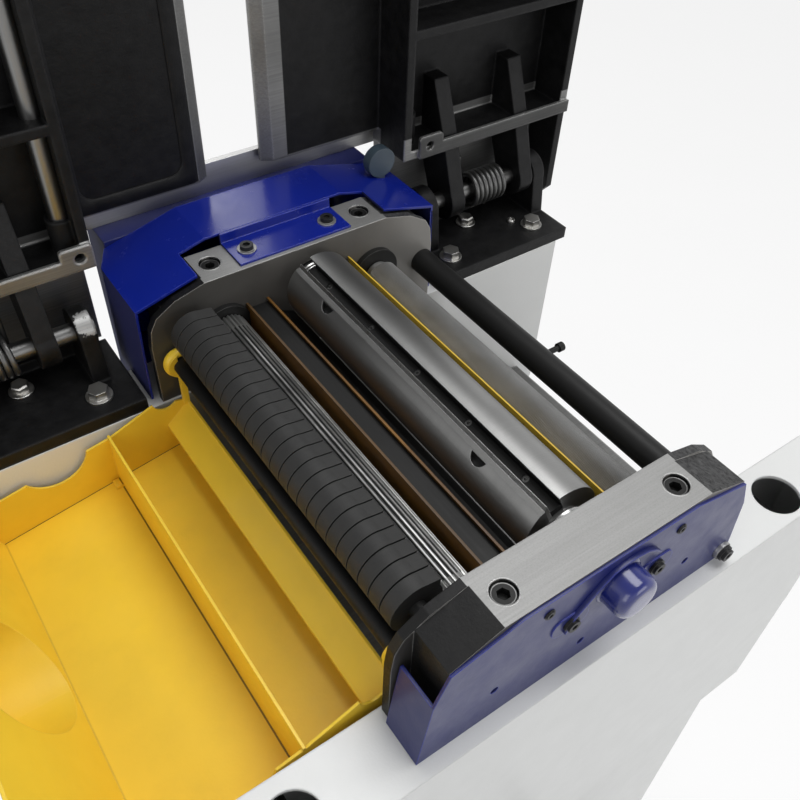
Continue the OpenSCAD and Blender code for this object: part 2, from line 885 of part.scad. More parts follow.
module drive_belt() {
    color(black)
        loop_band(cutter_centre, cutter_pulley_r, motor_centre, motor_pulley_r, belt_t, belt_y, belt_y + belt_w);
}

module feed_gearbox() {
    color(machined)
        difference() {
            along_y(gearbox_y0, gearbox_y1)
                round_rect(-28, driver_z - 22, 44, cutter_z + 22, 10);
            rod_y(shaft_r + 1, gearbox_y0 - 1, gearbox_y1 + 1, cutter_x, cutter_z);
            rod_y(8 + run_fit, gearbox_y0 + 5, gearbox_y1 + 1, driver_x, driver_z);
        }
    color(machined)
        along_y(block_out, gearbox_y0 + eps)
            round_rect(-26, driver_z - 20, -8, driver_z + 20, 3);
}

driver_centre = [driver_x, driver_z];

module feed_chains() {
    color(steel)
        for (i = [0, 1])
            loop_band([(2 * i - 1) * roller_x, roller_z], sprocket_r, driver_centre, driver_r,
                chain_t, chain_y[i], chain_y[i] + chain_w);
}

module column_guide() {
    color(machined)
        difference() {
            union() {
                rod_z(column_r + 12, guide_z0, deck_z, 0, 0);
                rod_z(column_r + 34, deck_z - cab_t - 10, deck_z - cab_t, 0, 0);
            }
            rod_z(column_r + run_fit, guide_z0 - 1, deck_z + 1, 0, 0);
        }
}

module lift_gearbox() {
    color(charcoal)
        difference() {
            union() {
                block(-gear_w / 2, gear_w / 2, -gear_w / 2, gear_w / 2, gear_z0, gear_z1 - 8);
                rod_z(26, gear_z1 - 9, gear_z1, 0, 0);
                rod_y(22, -gear_w / 2 - 10, -gear_w / 2 + 1, 0, handwheel_z);
            }
            rod_z(screw_r + run_fit, gear_z0 + 55, gear_z1 + 1, 0, 0);
            rod_y(wheel_shaft_r + run_fit, -gear_w / 2 - 11, -gear_w / 2 + 25, 0, handwheel_z);
        }
}

module switch_box() {
    color(charcoal)
        difference() {
            along_y(box_y - box_depth, box_y)
                round_rect(box_x - 38, box_z - 50, box_x + 38, box_z + 50, 8);
            for (z = [-22, 22])
                rod_y(button_d / 2 + 0.5, box_y - box_depth - 1, box_y - box_depth + 14, box_x, box_z + z);
        }
}

module cable_inlet() {
    color(black)
        difference() {
            union() {
                rod_y(16, cab_y, cab_y + 6, cable_x, cable_z);
                rod_y(12, cab_y, cab_y + 22, cable_x, cable_z);
                rod_y(10.8, cab_y - 12, cab_y + eps, cable_x, cable_z);
            }
            rod_y(5, cab_y - 13, cab_y + 23, cable_x, cable_z);
        }
}

module fence_rail() {
    z0 = guard_top;
    color(machined)
        along_x(-guard_x - rail_over, guard_x + rail_over)
            polygon([[rail_y, z0], [guard_y1 - 1, z0], [guard_y1 - 1, z0 + rail_t], [rail_y + rail_t, z0 + rail_t],
                [rail_y + rail_t, z0 + rail_h], [rail_y, z0 + rail_h]]);
}

module catch_pins() {
    color(black)
        left_and_right()
            rod_y(catch_pin_r, -wall_out + 1, -wall_in - 1, lock_x, catch_pin_z);
}

// Round elastic buffer on the drive cover that catches the lip of the raised table.
module table_buffer() {
    color("#8ea6bd") {
        rod_y(14, buffer_y, buffer_y + buffer_w + 2, buffer_x, top_h + 10);
        buffer_stem();
    }
}

// One knife slot and the radial planes in it, drawn with the slot pointing up.
module slot_outline() {
    translate([-slot_w / 2, drum_r - slot_depth])
        square([slot_w, slot_depth + 5]);
}

slot_turn = 25;
knife_t = 3;
land_w = 5;
notch_r = 7.5;
wedge_z = drum_r - slot_depth + 0.2;
wedge_h = slot_depth - 10.5;
wedge_screw_r = 2.6;
module at_wedge_screws() {
    for (i = [0:knife_n - 1], y = [-120:60:120])
        translate([cutter_x, y, cutter_z])
            rotate([0, -slot_turn - 360 / knife_n * i, 0])
                translate([slot_w / 2 - 4.4, 0, wedge_z + wedge_h - 4])
                    children();
}

module at_slots() {
    for (i = [0:knife_n - 1])
        translate([cutter_x, cutter_z])
            rotate(slot_turn + 360 / knife_n * i)
                children();
}

module cutter_drum() {
    color(machined) {
        difference() {
            union() {
                rod_y(drum_r, -drum_y, drum_y, cutter_x, cutter_z);
                rod_y(shaft_r + 1.5, -jaw - web_t, jaw + web_t, cutter_x, cutter_z);
            }
            along_y(-drum_y - 1, drum_y + 1)
                at_slots() {
                    slot_outline();
                    polygon([[-slot_w / 2 - land_w, drum_r - 1.8], [-slot_w / 2 + 1, drum_r - 1.6],
                        [-slot_w / 2 + 1, drum_r + 4], [-slot_w / 2 - land_w, drum_r + 4]]);
                }
            for (y = [-90, 98])
                translate([cutter_x, y, cutter_z])
                    for (i = [0:knife_n - 1])
                        rotate([0, -slot_turn - 360 / knife_n * i, 0])
                            translate([-slot_w / 2 - land_w + 1.5, 0, drum_r - 9])
                                difference() {
                                    cylinder(h = 20, r = notch_r);
                                    block(-1.5, notch_r + 1, -notch_r - 1, notch_r + 1, -1, 21);
                                }
        }
        rod_y(shaft_r, -jaw - web_t - bearing_w - 3, jaw + web_t, cutter_x, cutter_z);
        rod_y(shaft_r, jaw + web_t, belt_y + belt_w + 4, cutter_x, cutter_z);
    }
}

// Wedge bars that clamp the knives in their slots.
module wedge_bars() {
    color(black)
        difference() {
            along_y(-drum_y + 1, drum_y - 1)
                at_slots()
                    polygon([[-slot_w / 2 + knife_t, wedge_z], [slot_w / 2, wedge_z],
                        [slot_w / 2, wedge_z + wedge_h - 1], [slot_w / 2 - 1.5, wedge_z + wedge_h],
                        [-slot_w / 2 + knife_t, wedge_z + wedge_h + 0.5]]);
            at_wedge_screws()
                cylinder(h = 8, r = wedge_screw_r);
        }
}

module knives() {
    color(steel)
        along_y(-drum_y + 1, drum_y - 1)
            at_slots()
                polygon([[-slot_w / 2, drum_r - slot_depth + 0.2],
                    [-slot_w / 2 + knife_t, drum_r - slot_depth + 0.2], [-slot_w / 2 + knife_t, drum_r - 0.4],
                    [-slot_w / 2 + knife_t - 0.4, knife_r - 0.3], [-slot_w / 2, drum_r - 1.8]]);
}

module wedge_screws() {
    color(steel)
        at_wedge_screws()
            difference() {
                cylinder(h = 3.4, r = wedge_screw_r);
                translate([0, 0, 1.6])
                    cylinder(h = 3, r = wedge_screw_r * 0.55, $fn = 6);
            }
}

module cutter_pulley() {
    color(machined)
        difference() {
            union() {
                rod_y(cutter_pulley_r, belt_y - 0.5, belt_y + belt_w + 0.5, cutter_x, cutter_z);
                rod_y(cutter_pulley_r + 1.6, belt_y - 2, belt_y - 0.4, cutter_x, cutter_z);
            }
            rod_y(shaft_r, belt_y - 3, belt_y + belt_w + 2, cutter_x, cutter_z);
        }
}

module motor_pulley() {
    color(machined) {
        rod_y(motor_pulley_r, belt_y - 0.5, belt_y + belt_w + 0.5, cutter_x, motor_z);
        rod_y(rotor_r, motor_y1 - 20, belt_y, cutter_x, motor_z);
    }
}

module roller_shaft(x, chain) {
    rod_y(journal_r, -jaw - sleeve_len + 1, chain_y[chain] + chain_w + 1, x, roller_z);
    rod_y(sprocket_r, chain_y[chain], chain_y[chain] + chain_w, x, roller_z);
}

// Infeed roller with straight flutes.
module infeed_roller() {
    y_end = jaw - collar_t - 1;
    color(steel) {
        along_y(-y_end, y_end)
            difference() {
                translate([-roller_x, roller_z])
                    circle(roller_r);
                for (i = [0:flute_n - 1])
                    translate([-roller_x, roller_z])
                        rotate(i * 360 / flute_n)
                            translate([roller_r + 0.3, 0])
                                rotate(45)
                                    square(2.4, center = true);
            }
        roller_shaft(-roller_x, 0);
    }
}

module outfeed_roller() {
    y_end = jaw - collar_t - 1;
    color(machined) {
        rod_y(roller_r, -y_end + 8, y_end - 8, roller_x, roller_z);
        rod_y(roller_r - 1.5, -y_end + 6.5, y_end - 6.5, roller_x, roller_z);
        rod_y(journal_r + 2.5, -y_end, y_end, roller_x, roller_z);
        roller_shaft(roller_x, 1);
    }
}

module feed_sprocket() {
    color(steel) {
        rod_y(8, gearbox_y0 + 8, chain_y[1] + chain_w + 1, driver_x, driver_z);
        for (y = chain_y)
            rod_y(driver_r, y, y + chain_w, driver_x, driver_z);
    }
}

finger_tail = [[-88.5, -14.5], [-90, -38], [-97, -52], [-103, -63.5], [-105.5, -63.5], [-109, -50], [-111, -42]];

// Row of separate fingers that hang on their rod.
module kickback_fingers() {
    color(charcoal)
        for (i = [0:finger_n - 1])
            translate([0, (i - (finger_n - 1) / 2) * finger_pitch, 0])
                along_y(-finger_t / 2, finger_t / 2)
                    difference() {
                        union() {
                            translate([finger_x, finger_z])
                                circle(finger_nose_r);
                            polygon(concat([[finger_x, finger_z + finger_nose_r]], lifted(finger_tail)));
                        }
                        translate([finger_x, finger_z])
                            circle(finger_rod_r + run_fit);
                    }
}

hood_y = jaw - 7;
hook_t = 4.5;
hood_in_x = -118;
hood_bend_x = -292;
hood_out_x = -344;
hood_div_x = -188;
spigot_z = top_h - 124;

// End plate of the hood with its two scallops.
module hood_end() {
    difference() {
        polygon(lifted([[hood_in_x, -102], [hood_in_x, -148], [hood_bend_x, -177], [hood_out_x, -70],
            [hood_out_x + 8, -70], [-281, -127], [hood_div_x, -109], [-149, -94]]));
        translate([-236, top_h - 108])
            circle(27.6);
        translate([-138, top_h - 92])
            circle(11);
    }
}

module hood_sheet(pts) {
    along_y(-hood_y, hood_y)
        polygon(lifted(pts));
}

// Tipped-over dust hood: tray, divider, flap, end plates, pivot hooks and spigot.
module dust_hood() {
    t = hood_t;
    color(yellow)
        difference() {
            union() {
                hood_sheet([[hood_in_x, -102], [hood_in_x, -148], [hood_in_x - t, -148], [hood_in_x - t, -102]]);
                hood_sheet([[hood_in_x, -102], [hood_in_x - t, -104.8], [-140, -124.2], [-140, -121.4]]);
                hood_sheet([[hood_in_x, -148], [hood_bend_x, -177], [hood_bend_x, -177 + t], [hood_in_x, -148 + t]]);
                hood_sheet([[hood_div_x, -158], [hood_div_x, -107], [hood_div_x - t, -107], [hood_div_x - t, -158]]);
                hood_sheet([[hood_bend_x, -177], [hood_out_x, -70], [hood_out_x + 1.1 * t, -70],
                    [hood_bend_x + 1.1 * t, -177]]);
                for (y = [-hood_y, hood_y - t])
                    along_y(y, y + t)
                        hood_end();
                for (y = [-hood_y, hood_y - hook_t]) {
                    rod_y(hood_rod_r + 4.5, y, y + hook_t, hood_rod_x, hood_rod_z);
                    block(hood_rod_x - 4, hood_rod_x + 1, y, y + hook_t, top_h - 104, hood_rod_z - hood_rod_r - 1);
                }
                intersection() {
                    union() {
                        rod_x(spigot_d / 2, hood_out_x - spigot_len, hood_out_x - 4, 0, spigot_z);
                        rod_x(spigot_d / 2 + 1.8, hood_out_x - 5, hood_bend_x + 4, 0, spigot_z);
                    }
                    along_y(-spigot_d, spigot_d)
                        polygon(lifted([[hood_out_x - spigot_len - 1, -220], [hood_bend_x + 22, -220],
                            [hood_out_x - 18.4, -35], [hood_out_x - spigot_len - 1, -35]]));
                }
            }
            rod_x(spigot_d / 2 - t, hood_out_x - spigot_len - 1, hood_bend_x + 6, 0, spigot_z);
            rod_y(hood_rod_r + run_fit, -hood_y - 1, hood_y + 1, hood_rod_x, hood_rod_z);
            for (y = [-hood_y - 1, hood_y - hook_t - 1])
                block(hood_rod_x - 3, hood_rod_x + 3, y, y + hook_t + 2, hood_rod_z, hood_rod_z + 20);
        }
}

// A table in its closed place on the right. top is the height of its surface.
module table_body(top, strip_x) {
    x0 = lip_edge;
    x1 = table_end;
    plate_z = top - plate_t;
    rib_z = plate_z - rib_h;
    strip_y = table_rear - 21;
    arm = [[-115, 40], [-50, 41], [0, ear_r], [14, -14], [0, -ear_r], [-60, 0], [-115, 22]];
    difference() {
        union() {
            along_y(-table_w / 2, table_w / 2)
                polygon([[x0, top], [x0, top - 3], [x0 + 10, top - lip_t], [lip_len + 4, top - lip_t], [lip_len + 4, top]]);
            block(lip_len + 2, x1, -table_front, table_rear, plate_z, top);
            block(skirt_x, x1, table_rear - 2, skirt_y, plate_z, top);
            along_x(x1 - rib_t, x1)
                polygon([[table_rear - 1, plate_z + 1], [table_rear - 1, rib_z], [skirt_y - 16, rib_z],
                    [skirt_y, rib_z + 14], [skirt_y, plate_z + 1]]);
            block(lip_len + 2, lip_len + 2 + rib_t, -table_front, table_rear, rib_z, plate_z + 1);
            block(x1 - rib_t, x1, -table_front, table_rear, rib_z, plate_z + 1);
            for (y = [-table_front, -60, 50, table_rear - rib_t])
                block(lip_len + 2, x1, y, y + rib_t, rib_z, plate_z + 1);
            for (x = [arm_in_x, arm_out_x]) {
                along_x(x, x + arm_t)
                    polygon([for (p = arm) [hinge_y + p[0], hinge_z + p[1]]]);
                rod_x(ear_r, x, x + arm_t, hinge_y, hinge_z);
            }
            block(lock_x - 18, lock_x + 18, -table_front, -catch_y + 20, wall_top + seat_gap, plate_z + 1);
            rod_z(tongue_r, wall_top - 14, wall_top + 1, lock_x, -catch_y);
            rod_y(lock_bar_r + 3, lock_bar_y1 - 6, table_rear - 1, lock_bar_x, lock_bar_z);
            block(strip_x, x1, table_rear - 12, table_rear, rib_z - strip_t, rib_z + eps);
            translate([0, 0, rib_z - strip_t])
                linear_extrude(strip_t + eps)
                    round_rect(strip_x, strip_y, strip_x + 26, table_rear, 3);
        }
        rod_z(4.5, rib_z - strip_t - 1, rib_z + 1, strip_x + 11, strip_y + 10);
        rod_x(hinge_r + run_fit, arm_in_x - 1, arm_out_x + arm_t + 1, hinge_y, hinge_z);
        rod_y(lock_bar_r + run_fit, -table_front - 1, lock_bar_y1 + 1, lock_bar_x, lock_bar_z);
    }
}

// Raises what is drawn in the closed place to the upright place.
module raised() {
    translate([0, hinge_y, hinge_z])
        rotate([-90, 0, 0])
            translate([0, -hinge_y, -hinge_z])
                children();
}

module infeed_table() {
    color(black)
        raised()
            table_body(table_top - chip_depth, lock_bar_x + 3);
}

module outfeed_table() {
    color(black)
        raised()
            mirror([1, 0, 0])
                table_body(table_top, lip_len + 2);
}

// Lock bar below a table with its hand lever, in the closed place on the right.
module lock_body() {
    y_hub = -lock_y0 - 18;
    rod_y(lock_bar_r, -lock_y0, lock_bar_y1, lock_bar_x, lock_bar_z);
    rod_y(16, y_hub, -lock_y0 + eps, lock_bar_x, lock_bar_z);
    along_y(y_hub + 2, y_hub + 12)
        round_rect(lock_bar_x - 8, lock_bar_z - 95, lock_bar_x + 8, lock_bar_z, 7);
    translate([lock_bar_x, y_hub + 7, lock_bar_z - 100])
        sphere(13);
}

module infeed_lock() {
    color(machined)
        raised()
            lock_body();
}

module outfeed_lock() {
    color(machined)
        raised()
            mirror([1, 0, 0])
                lock_body();
}

module thickness_bed() {
    x = bed_len / 2;
    z0 = bed_z - bed_t;
    color(machined) {
        block(-x, x, -bed_y, bed_y, z0, bed_z);
        for (s = [-x, x - 8])
            block(s, s + 8, -bed_y, bed_y, bed_bottom, z0 + 1);
        for (y = [-bed_y, -60, 52, bed_y - 8])
            block(-x, x, y, y + 8, bed_bottom, z0 + 1);
        for (s = [-150, 142])
            block(s, s + 8, -bed_y, bed_y, bed_bottom, z0 + 1);
        rod_z(column_r + 19, bed_bottom, z0 + 1, 0, 0);
    }
}

module lift_column() {
    color(steel)
        difference() {
            rod_z(column_r, column_z0, bed_bottom, 0, 0);
            rod_z(column_bore_r, column_z0 + 30, bed_bottom + 1, 0, 0);
            rod_z(screw_r + run_fit, column_z0 - 1, column_z0 + 31, 0, 0);
        }
}

module leadscrew() {
    color(steel)
        difference() {
            rod_z(screw_r, gear_z0 + 57, bed_bottom - 12, 0, 0);
            for (z = [column_z0 + 34:6:bed_bottom - 20])
                translate([0, 0, z])
                    difference() {
                        cylinder(h = 2, r = screw_r + 1);
                        translate([0, 0, -1])
                            cylinder(h = 4, r = screw_r - 1);
                    }
        }
}

// Three-spoked handwheel on its shaft.
module handwheel() {
    r = handwheel_d / 2;
    grip = r - 12;
    color(charcoal) {
        difference() {
            union() {
                translate([0, wheel_y, handwheel_z])
                    rotate([90, 0, 0])
                        rotate_extrude()
                            translate([r - 9, 0])
                                circle(9);
                rod_y(20, wheel_y - 12, wheel_y + 20, 0, handwheel_z);
                for (a = [30, 150, 270])
                    translate([0, wheel_y, handwheel_z])
                        rotate([0, a, 0])
                            block(0, r - 9, -5, 5, -9, 9);
            }
            rod_y(5, wheel_y - 20, wheel_y + 10, grip, handwheel_z);
        }
        rod_y(wheel_shaft_r, wheel_y + 19, -gear_w / 2 + 22, 0, handwheel_z);
    }
}

module handwheel_grip() {
    x = handwheel_d / 2 - 12;
    color(black) {
        rod_y(4.95, wheel_y - 14, wheel_y + 8, x, handwheel_z);
        translate([x, wheel_y - 9.3 - 50, handwheel_z])
            rotate([-90, 0, 0])
                rotate_extrude()
                    polygon([[0, 0], [8, 0], [11, 4], [12, 16], [9, 40], [10, 50], [0, 50]]);
    }
}

module button(z) {
    rod_y(button_d / 2, box_y - box_depth - 6, box_y - box_depth + 10.5 - button_travel, box_x, box_z + z);
}

module start_button() {
    color("#2c9a4b")
        button(22);
}

module stop_button() {
    color("#c4261f")
        button(-22);
}

base_cabinet();
access_panel();
front_wall();
rear_wall();
front_bracket();
rear_bracket();
front_cover();
bearing_cap();
drive_cover();
cover_strip();
belt_guard();
outfeed_hinge_base();
infeed_hinge_base();
hinge_pins();
outfeed_spring();
infeed_spring();
hood_rod();
tie_rod();
finger_rod();
roller_collars();
cutter_bearings();
chip_plates();
pressure_bar();
pressure_screws();
cover_screws();
hinge_bolts();
motor();
drive_belt();
feed_gearbox();
feed_chains();
column_guide();
lift_gearbox();
switch_box();
cable_inlet();
fence_rail();
catch_pins();
table_buffer();
cutter_drum();
wedge_bars();
knives();
wedge_screws();
cutter_pulley();
motor_pulley();
infeed_roller();
outfeed_roller();
feed_sprocket();
kickback_fingers();
dust_hood();
outfeed_table();
infeed_table();
outfeed_lock();
infeed_lock();
thickness_bed();
lift_column();
leadscrew();
handwheel();
handwheel_grip();
start_button();
stop_button();
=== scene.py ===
import math

import bmesh
import bpy
from mathutils import Matrix, Vector


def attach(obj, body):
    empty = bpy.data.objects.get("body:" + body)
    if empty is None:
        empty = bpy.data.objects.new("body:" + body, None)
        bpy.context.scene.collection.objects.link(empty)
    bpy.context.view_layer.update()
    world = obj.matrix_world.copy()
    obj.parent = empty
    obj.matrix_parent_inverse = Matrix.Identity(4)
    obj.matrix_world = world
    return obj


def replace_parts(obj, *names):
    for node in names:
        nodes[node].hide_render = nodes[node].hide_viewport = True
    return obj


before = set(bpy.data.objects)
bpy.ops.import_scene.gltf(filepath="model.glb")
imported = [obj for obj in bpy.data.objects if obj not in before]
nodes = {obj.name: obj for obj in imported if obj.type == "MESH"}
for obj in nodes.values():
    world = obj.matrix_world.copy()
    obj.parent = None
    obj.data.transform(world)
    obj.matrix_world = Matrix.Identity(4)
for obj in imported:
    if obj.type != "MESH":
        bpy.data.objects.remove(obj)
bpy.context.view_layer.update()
scene = bpy.context.scene

# Places in the machine, in metres, as the part's source has them.
TOP_Z = 0.870
CUTTER_X = 0.009
CUTTER_Z = 0.839
CUTTER_R = 0.030
SHAFT_R = 0.015
ROLLER_X = 0.073
ROLLER_Z = 0.8205
ROLLER_R = 0.016
HINGE_Y = 0.225
HINGE_Z = 0.818
BASE_TOP_Z = 0.7789
COVER_FRONT_Y = -0.203
COUNTERBORE_X = 0.071
COUNTERBORE_Y = 0.1833
SCREW_HEAD_Z = 0.868
HOOD_ROD_X = -0.119
HOOD_ROD_Z = 0.808
HOOD_END_Y = 0.1521
HOOD_FOLD_X = -0.2905
HOOD_LOW_Z = 0.730
DIVIDER_X = -0.190
WALL_INNER_Y = 0.1620
LIP_FACE_Y = (0.2673, 0.2684)
LIP_Z = (0.8895, 1.196)
RECESS_Z = (0.902, 1.184)

# Camera fitted to the photograph.
cam_data = bpy.data.cameras.new("camera")
cam_data.lens = 39.43
cam_data.sensor_width = 36.0
cam_data.clip_start = 0.02
cam = bpy.data.objects.new("camera", cam_data)
scene.collection.objects.link(cam)
right = Vector((0.81769, -0.57453, 0.03603))
up = Vector((0.38512, 0.59249, 0.70755))
back = Vector((-0.42785, -0.56469, 0.70574))
place = Vector((-0.288, -0.364, 1.292))
cam.matrix_world = Matrix(
    (
        (right.x, up.x, back.x, place.x),
        (right.y, up.y, back.y, place.y),
        (right.z, up.z, back.z, place.z),
        (0, 0, 0, 1),
    )
)
scene.camera = cam


# Node helpers.
def lin(hex_colour):
    """Linear colour of a hexadecimal sRGB colour."""
    v = [int(hex_colour[i : i + 2], 16) / 255 for i in (0, 2, 4)]
    return tuple(c / 12.92 if c <= 0.04045 else ((c + 0.055) / 1.055) ** 2.4 for c in v)


def rgba(c, k=1.0):
    """Colour with k times the brightness, as a socket takes it."""
    return (min(c[0] * k, 1), min(c[1] * k, 1), min(c[2] * k, 1), 1)


class Nodes:
    """Short calls for the nodes of one node tree."""

    def __init__(self, tree):
        self.nt = tree
        tree.nodes.clear()

    def new(self, kind):
        return self.nt.nodes.new(kind)

    def put(self, sock, v):
        """Links a socket, or sets its constant."""
        if isinstance(v, bpy.types.NodeSocket):
            self.nt.links.new(v, sock)
        else:
            sock.default_value = v

    def math(self, op, a, b=0.5):
        n = self.new("ShaderNodeMath")
        n.operation = op
        self.put(n.inputs[0], a)
        self.put(n.inputs[1], b)
        return n.outputs[0]

    def absolute(self, v):
        return self.math("ABSOLUTE", v)

    def either(self, *masks):
        """Largest of the masks."""
        out = masks[0]
        for v in masks[1:]:
            out = self.math("MAXIMUM", out, v)
        return out

    def times(self, *values):
        """Product of masks and numbers."""
        out = values[0]
        for v in values[1:]:
            out = self.math("MULTIPLY", out, v)
        return out

    def reach(self, *steps):
        """Length of the vector with these components."""
        total = self.times(steps[0], steps[0])
        for v in steps[1:]:
            total = self.math("ADD", total, self.times(v, v))
        return self.math("SQRT", total)

    def from_axis(self, p, x, z):
        """Distance from an axis along Y."""
        return self.reach(self.math("SUBTRACT", p[0], x), self.math("SUBTRACT", p[2], z))

    def xyz(self, vec):
        """Components of a vector."""
        n = self.new("ShaderNodeSeparateXYZ")
        self.put(n.inputs[0], vec)
        return n.outputs

    def span(self, v, a, b, lo=0.0, hi=1.0):
        """Ramp that gives lo at a and hi at b."""
        n = self.new("ShaderNodeMapRange")
        n.clamp = True
        self.put(n.inputs["Value"], v)
        for socket, k in (("From Min", a), ("From Max", b), ("To Min", lo), ("To Max", hi)):
            n.inputs[socket].default_value = k
        return n.outputs[0]

    def mix_shader(self, f, a, b):
        n = self.new("ShaderNodeMixShader")
        for socket, v in zip(n.inputs, (f, a, b)):
            self.put(socket, v)
        return n.outputs[0]


class Tree(Nodes):
    """A material's node tree round one Principled shader."""

    def __init__(self, name):
        self.m = bpy.data.materials.new(name)
        self.m.use_nodes = True
        super().__init__(self.m.node_tree)
        self.out = self.new("ShaderNodeOutputMaterial")
        self.bsdf = self.new("ShaderNodeBsdfPrincipled")
        self.nt.links.new(self.bsdf.outputs[0], self.out.inputs[0])
        tc = self.new("ShaderNodeTexCoord")
        self.pos = tc.outputs["Object"]
        self.nrm = tc.outputs["Normal"]

    def set(self, name, v):
        """Links or sets one of the shader's sockets."""
        self.put(self.bsdf.inputs[name], v)

    def places(self):
        """Components of the place in the piece and of its normal."""
        return self.xyz(self.pos), self.xyz(self.nrm)

    def scaled(self, sx, sy, sz):
        """The place in the piece, stretched for a pattern with a direction."""
        n = self.new("ShaderNodeMapping")
        self.put(n.inputs["Vector"], self.pos)
        n.inputs["Scale"].default_value = (sx, sy, sz)
        return n.outputs[0]

    def noise(self, scale, detail=3.0, rough=0.5, vec=None, distortion=0.0):
        n = self.new("ShaderNodeTexNoise")
        self.put(n.inputs["Vector"], self.pos if vec is None else vec)
        n.inputs["Scale"].default_value = scale
        n.inputs["Detail"].default_value = detail
        n.inputs["Roughness"].default_value = rough
        n.inputs["Distortion"].default_value = distortion
        return n.outputs["Fac"]

    def cells(self, scale):
        """Smooth cell pattern for hammered casting."""
        n = self.new("ShaderNodeTexVoronoi")
        n.feature = "SMOOTH_F1"
        self.put(n.inputs["Vector"], self.pos)
        n.inputs["Scale"].default_value = scale
        return n.outputs["Distance"]

    def mix_node(self, kind, first, f, a, b):
        """Mix node whose inputs of this kind start at index first."""
        n = self.new("ShaderNodeMix")
        n.data_type = kind
        self.put(n.inputs[0], f)
        self.put(n.inputs[first], a)
        self.put(n.inputs[first + 1], b)
        return n.outputs

    def mix(self, f, a, b):
        """Colour a where f is 0, and b where it is 1."""
        return self.mix_node("RGBA", 6, f, a, b)[2]

    def blend(self, f, a, b):
        """Number a where f is 0, and b where it is 1."""
        return self.mix_node("FLOAT", 2, f, a, b)[0]

    def pick_normal(self, f, a, b):
        """Normal a where the mask f is 0, and b where it is 1."""
        return self.mix_node("VECTOR", 4, f, a, b)[1]

    def bump(self, height, dist, strength, normal):
        n = self.new("ShaderNodeBump")
        self.put(n.inputs["Height"], height)
        n.inputs["Distance"].default_value = dist
        self.put(n.inputs["Strength"], strength)
        self.put(n.inputs["Normal"], normal)
        return n.outputs[0]

    def edges(self, radius):
        """Rounded edge normals, and a mask that is 1 on sharp edges."""
        b = self.new("ShaderNodeBevel")
        b.samples = 4
        b.inputs["Radius"].default_value = radius
        g = self.new("ShaderNodeNewGeometry")
        d = self.new("ShaderNodeVectorMath")
        d.operation = "DOT_PRODUCT"
        self.nt.links.new(b.outputs[0], d.inputs[0])
        self.nt.links.new(g.outputs["Normal"], d.inputs[1])
        return b.outputs[0], self.span(d.outputs["Value"], 0.995, 0.86)


def paint(
    name,
    colour,
    rough=0.32,
    peel=0.00004,
    radius=0.0009,
    coat=0.25,
    dirt=0.12,
    chip=0.0,
    under="3a3c40",
    rim=None,
    uneven=(0.93, 1.05),
    gloss=0.5,
    stain=None,
    matt=None,
    joints=None,
):
    """Sprayed enamel: faint orange peel, uneven gloss, handling marks, light wear on edges and a painted
    highlight along edges.

    stain(t) may give a mask of faces painted darker as shade, the matt mask one of faces that are dull
    and painted darker as shade, and the joint masks those of painted shade in seams and folds.
    """
    t = Tree(name)
    c = lin(colour)
    soft, edge = t.edges(radius)
    cloud = t.noise(9.0, 4.0, 0.6)
    body = t.mix(t.span(cloud, 0.3, 0.7), rgba(c, uneven[0]), rgba(c, uneven[1]))
    smudge = t.times(t.span(t.noise(34.0, 5.0, 0.65), 0.52, 0.72), dirt)
    body = t.mix(smudge, body, rgba(c, 0.55))
    if stain:
        # Painted shade: faces in this mask are mixed towards dark grey.
        body = t.mix(t.times(stain(t), 0.85), body, rgba(lin("3a3a38")))
    if chip:
        worn = t.times(edge, t.span(t.noise(140.0, 4.0, 0.7), 0.52, 0.62, 0.0, chip))
        body = t.mix(worn, body, rgba(lin(under)))
    # Painted highlight: edges are mixed towards a lighter colour, or towards rim where it is given.
    light = t.times(edge, 0.55 if rim else 0.16)
    body = t.mix(light, body, rgba(lin(rim)) if rim else rgba(tuple(v * 0.6 + 0.3 for v in c)))
    rub = t.span(t.noise(55.0, 4.0, 0.6), 0.3, 0.7, rough - 0.05, rough + 0.08)
    if matt:
        # Painted shade: faces in this mask are darkened as well as made duller.
        mask = matt(t)
        body = t.mix(mask, body, rgba(c, 0.35))
        rub = t.blend(mask, rub, 0.8)
    if joints:
        # Painted shade: a dark line in the seams and a darker line along the fold.
        seam_shade, fold_shade = joints(t)
        body = t.mix(seam_shade, body, (0.055, 0.030, 0.002, 1))
        body = t.mix(fold_shade, body, (0.30, 0.19, 0.01, 1))
    t.set("Base Color", body)
    t.set("Roughness", rub)
    t.set("Coat Weight", coat)
    t.set("Specular IOR Level", gloss)
    t.set("Coat Roughness", 0.12)
    fine = t.bump(t.noise(520.0, 2.0, 0.45), peel, 1.0, soft)
    t.set("Normal", t.bump(t.noise(38.0, 2.0, 0.4), 0.00025, 0.25, fine))
    return t.m


def hood_joint_shade(t):
    """Masks of painted shade in the hood: dark lines where its divider and end plates meet its floor, and
    a darker line along its fold.
    """
    p, n = t.places()
    flat = t.span(n[2], 0.6, 0.8)
    left_of = t.span(p[0], DIVIDER_X + 0.0001, DIVIDER_X)
    foot = t.times(t.span(p[0], DIVIDER_X - 0.0013, DIVIDER_X - 0.0011), left_of)
    ends = t.span(t.absolute(p[1]), HOOD_END_Y, HOOD_END_Y + 0.0003)
    low = t.span(p[2], HOOD_LOW_Z + 0.005, HOOD_LOW_Z)
    fold_shade = t.span(t.absolute(t.math("SUBTRACT", p[0], HOOD_FOLD_X)), 0.0011, 0.0004)
    return t.times(t.either(foot, ends), flat, low, 0.85), t.times(fold_shade, flat, 0.35)


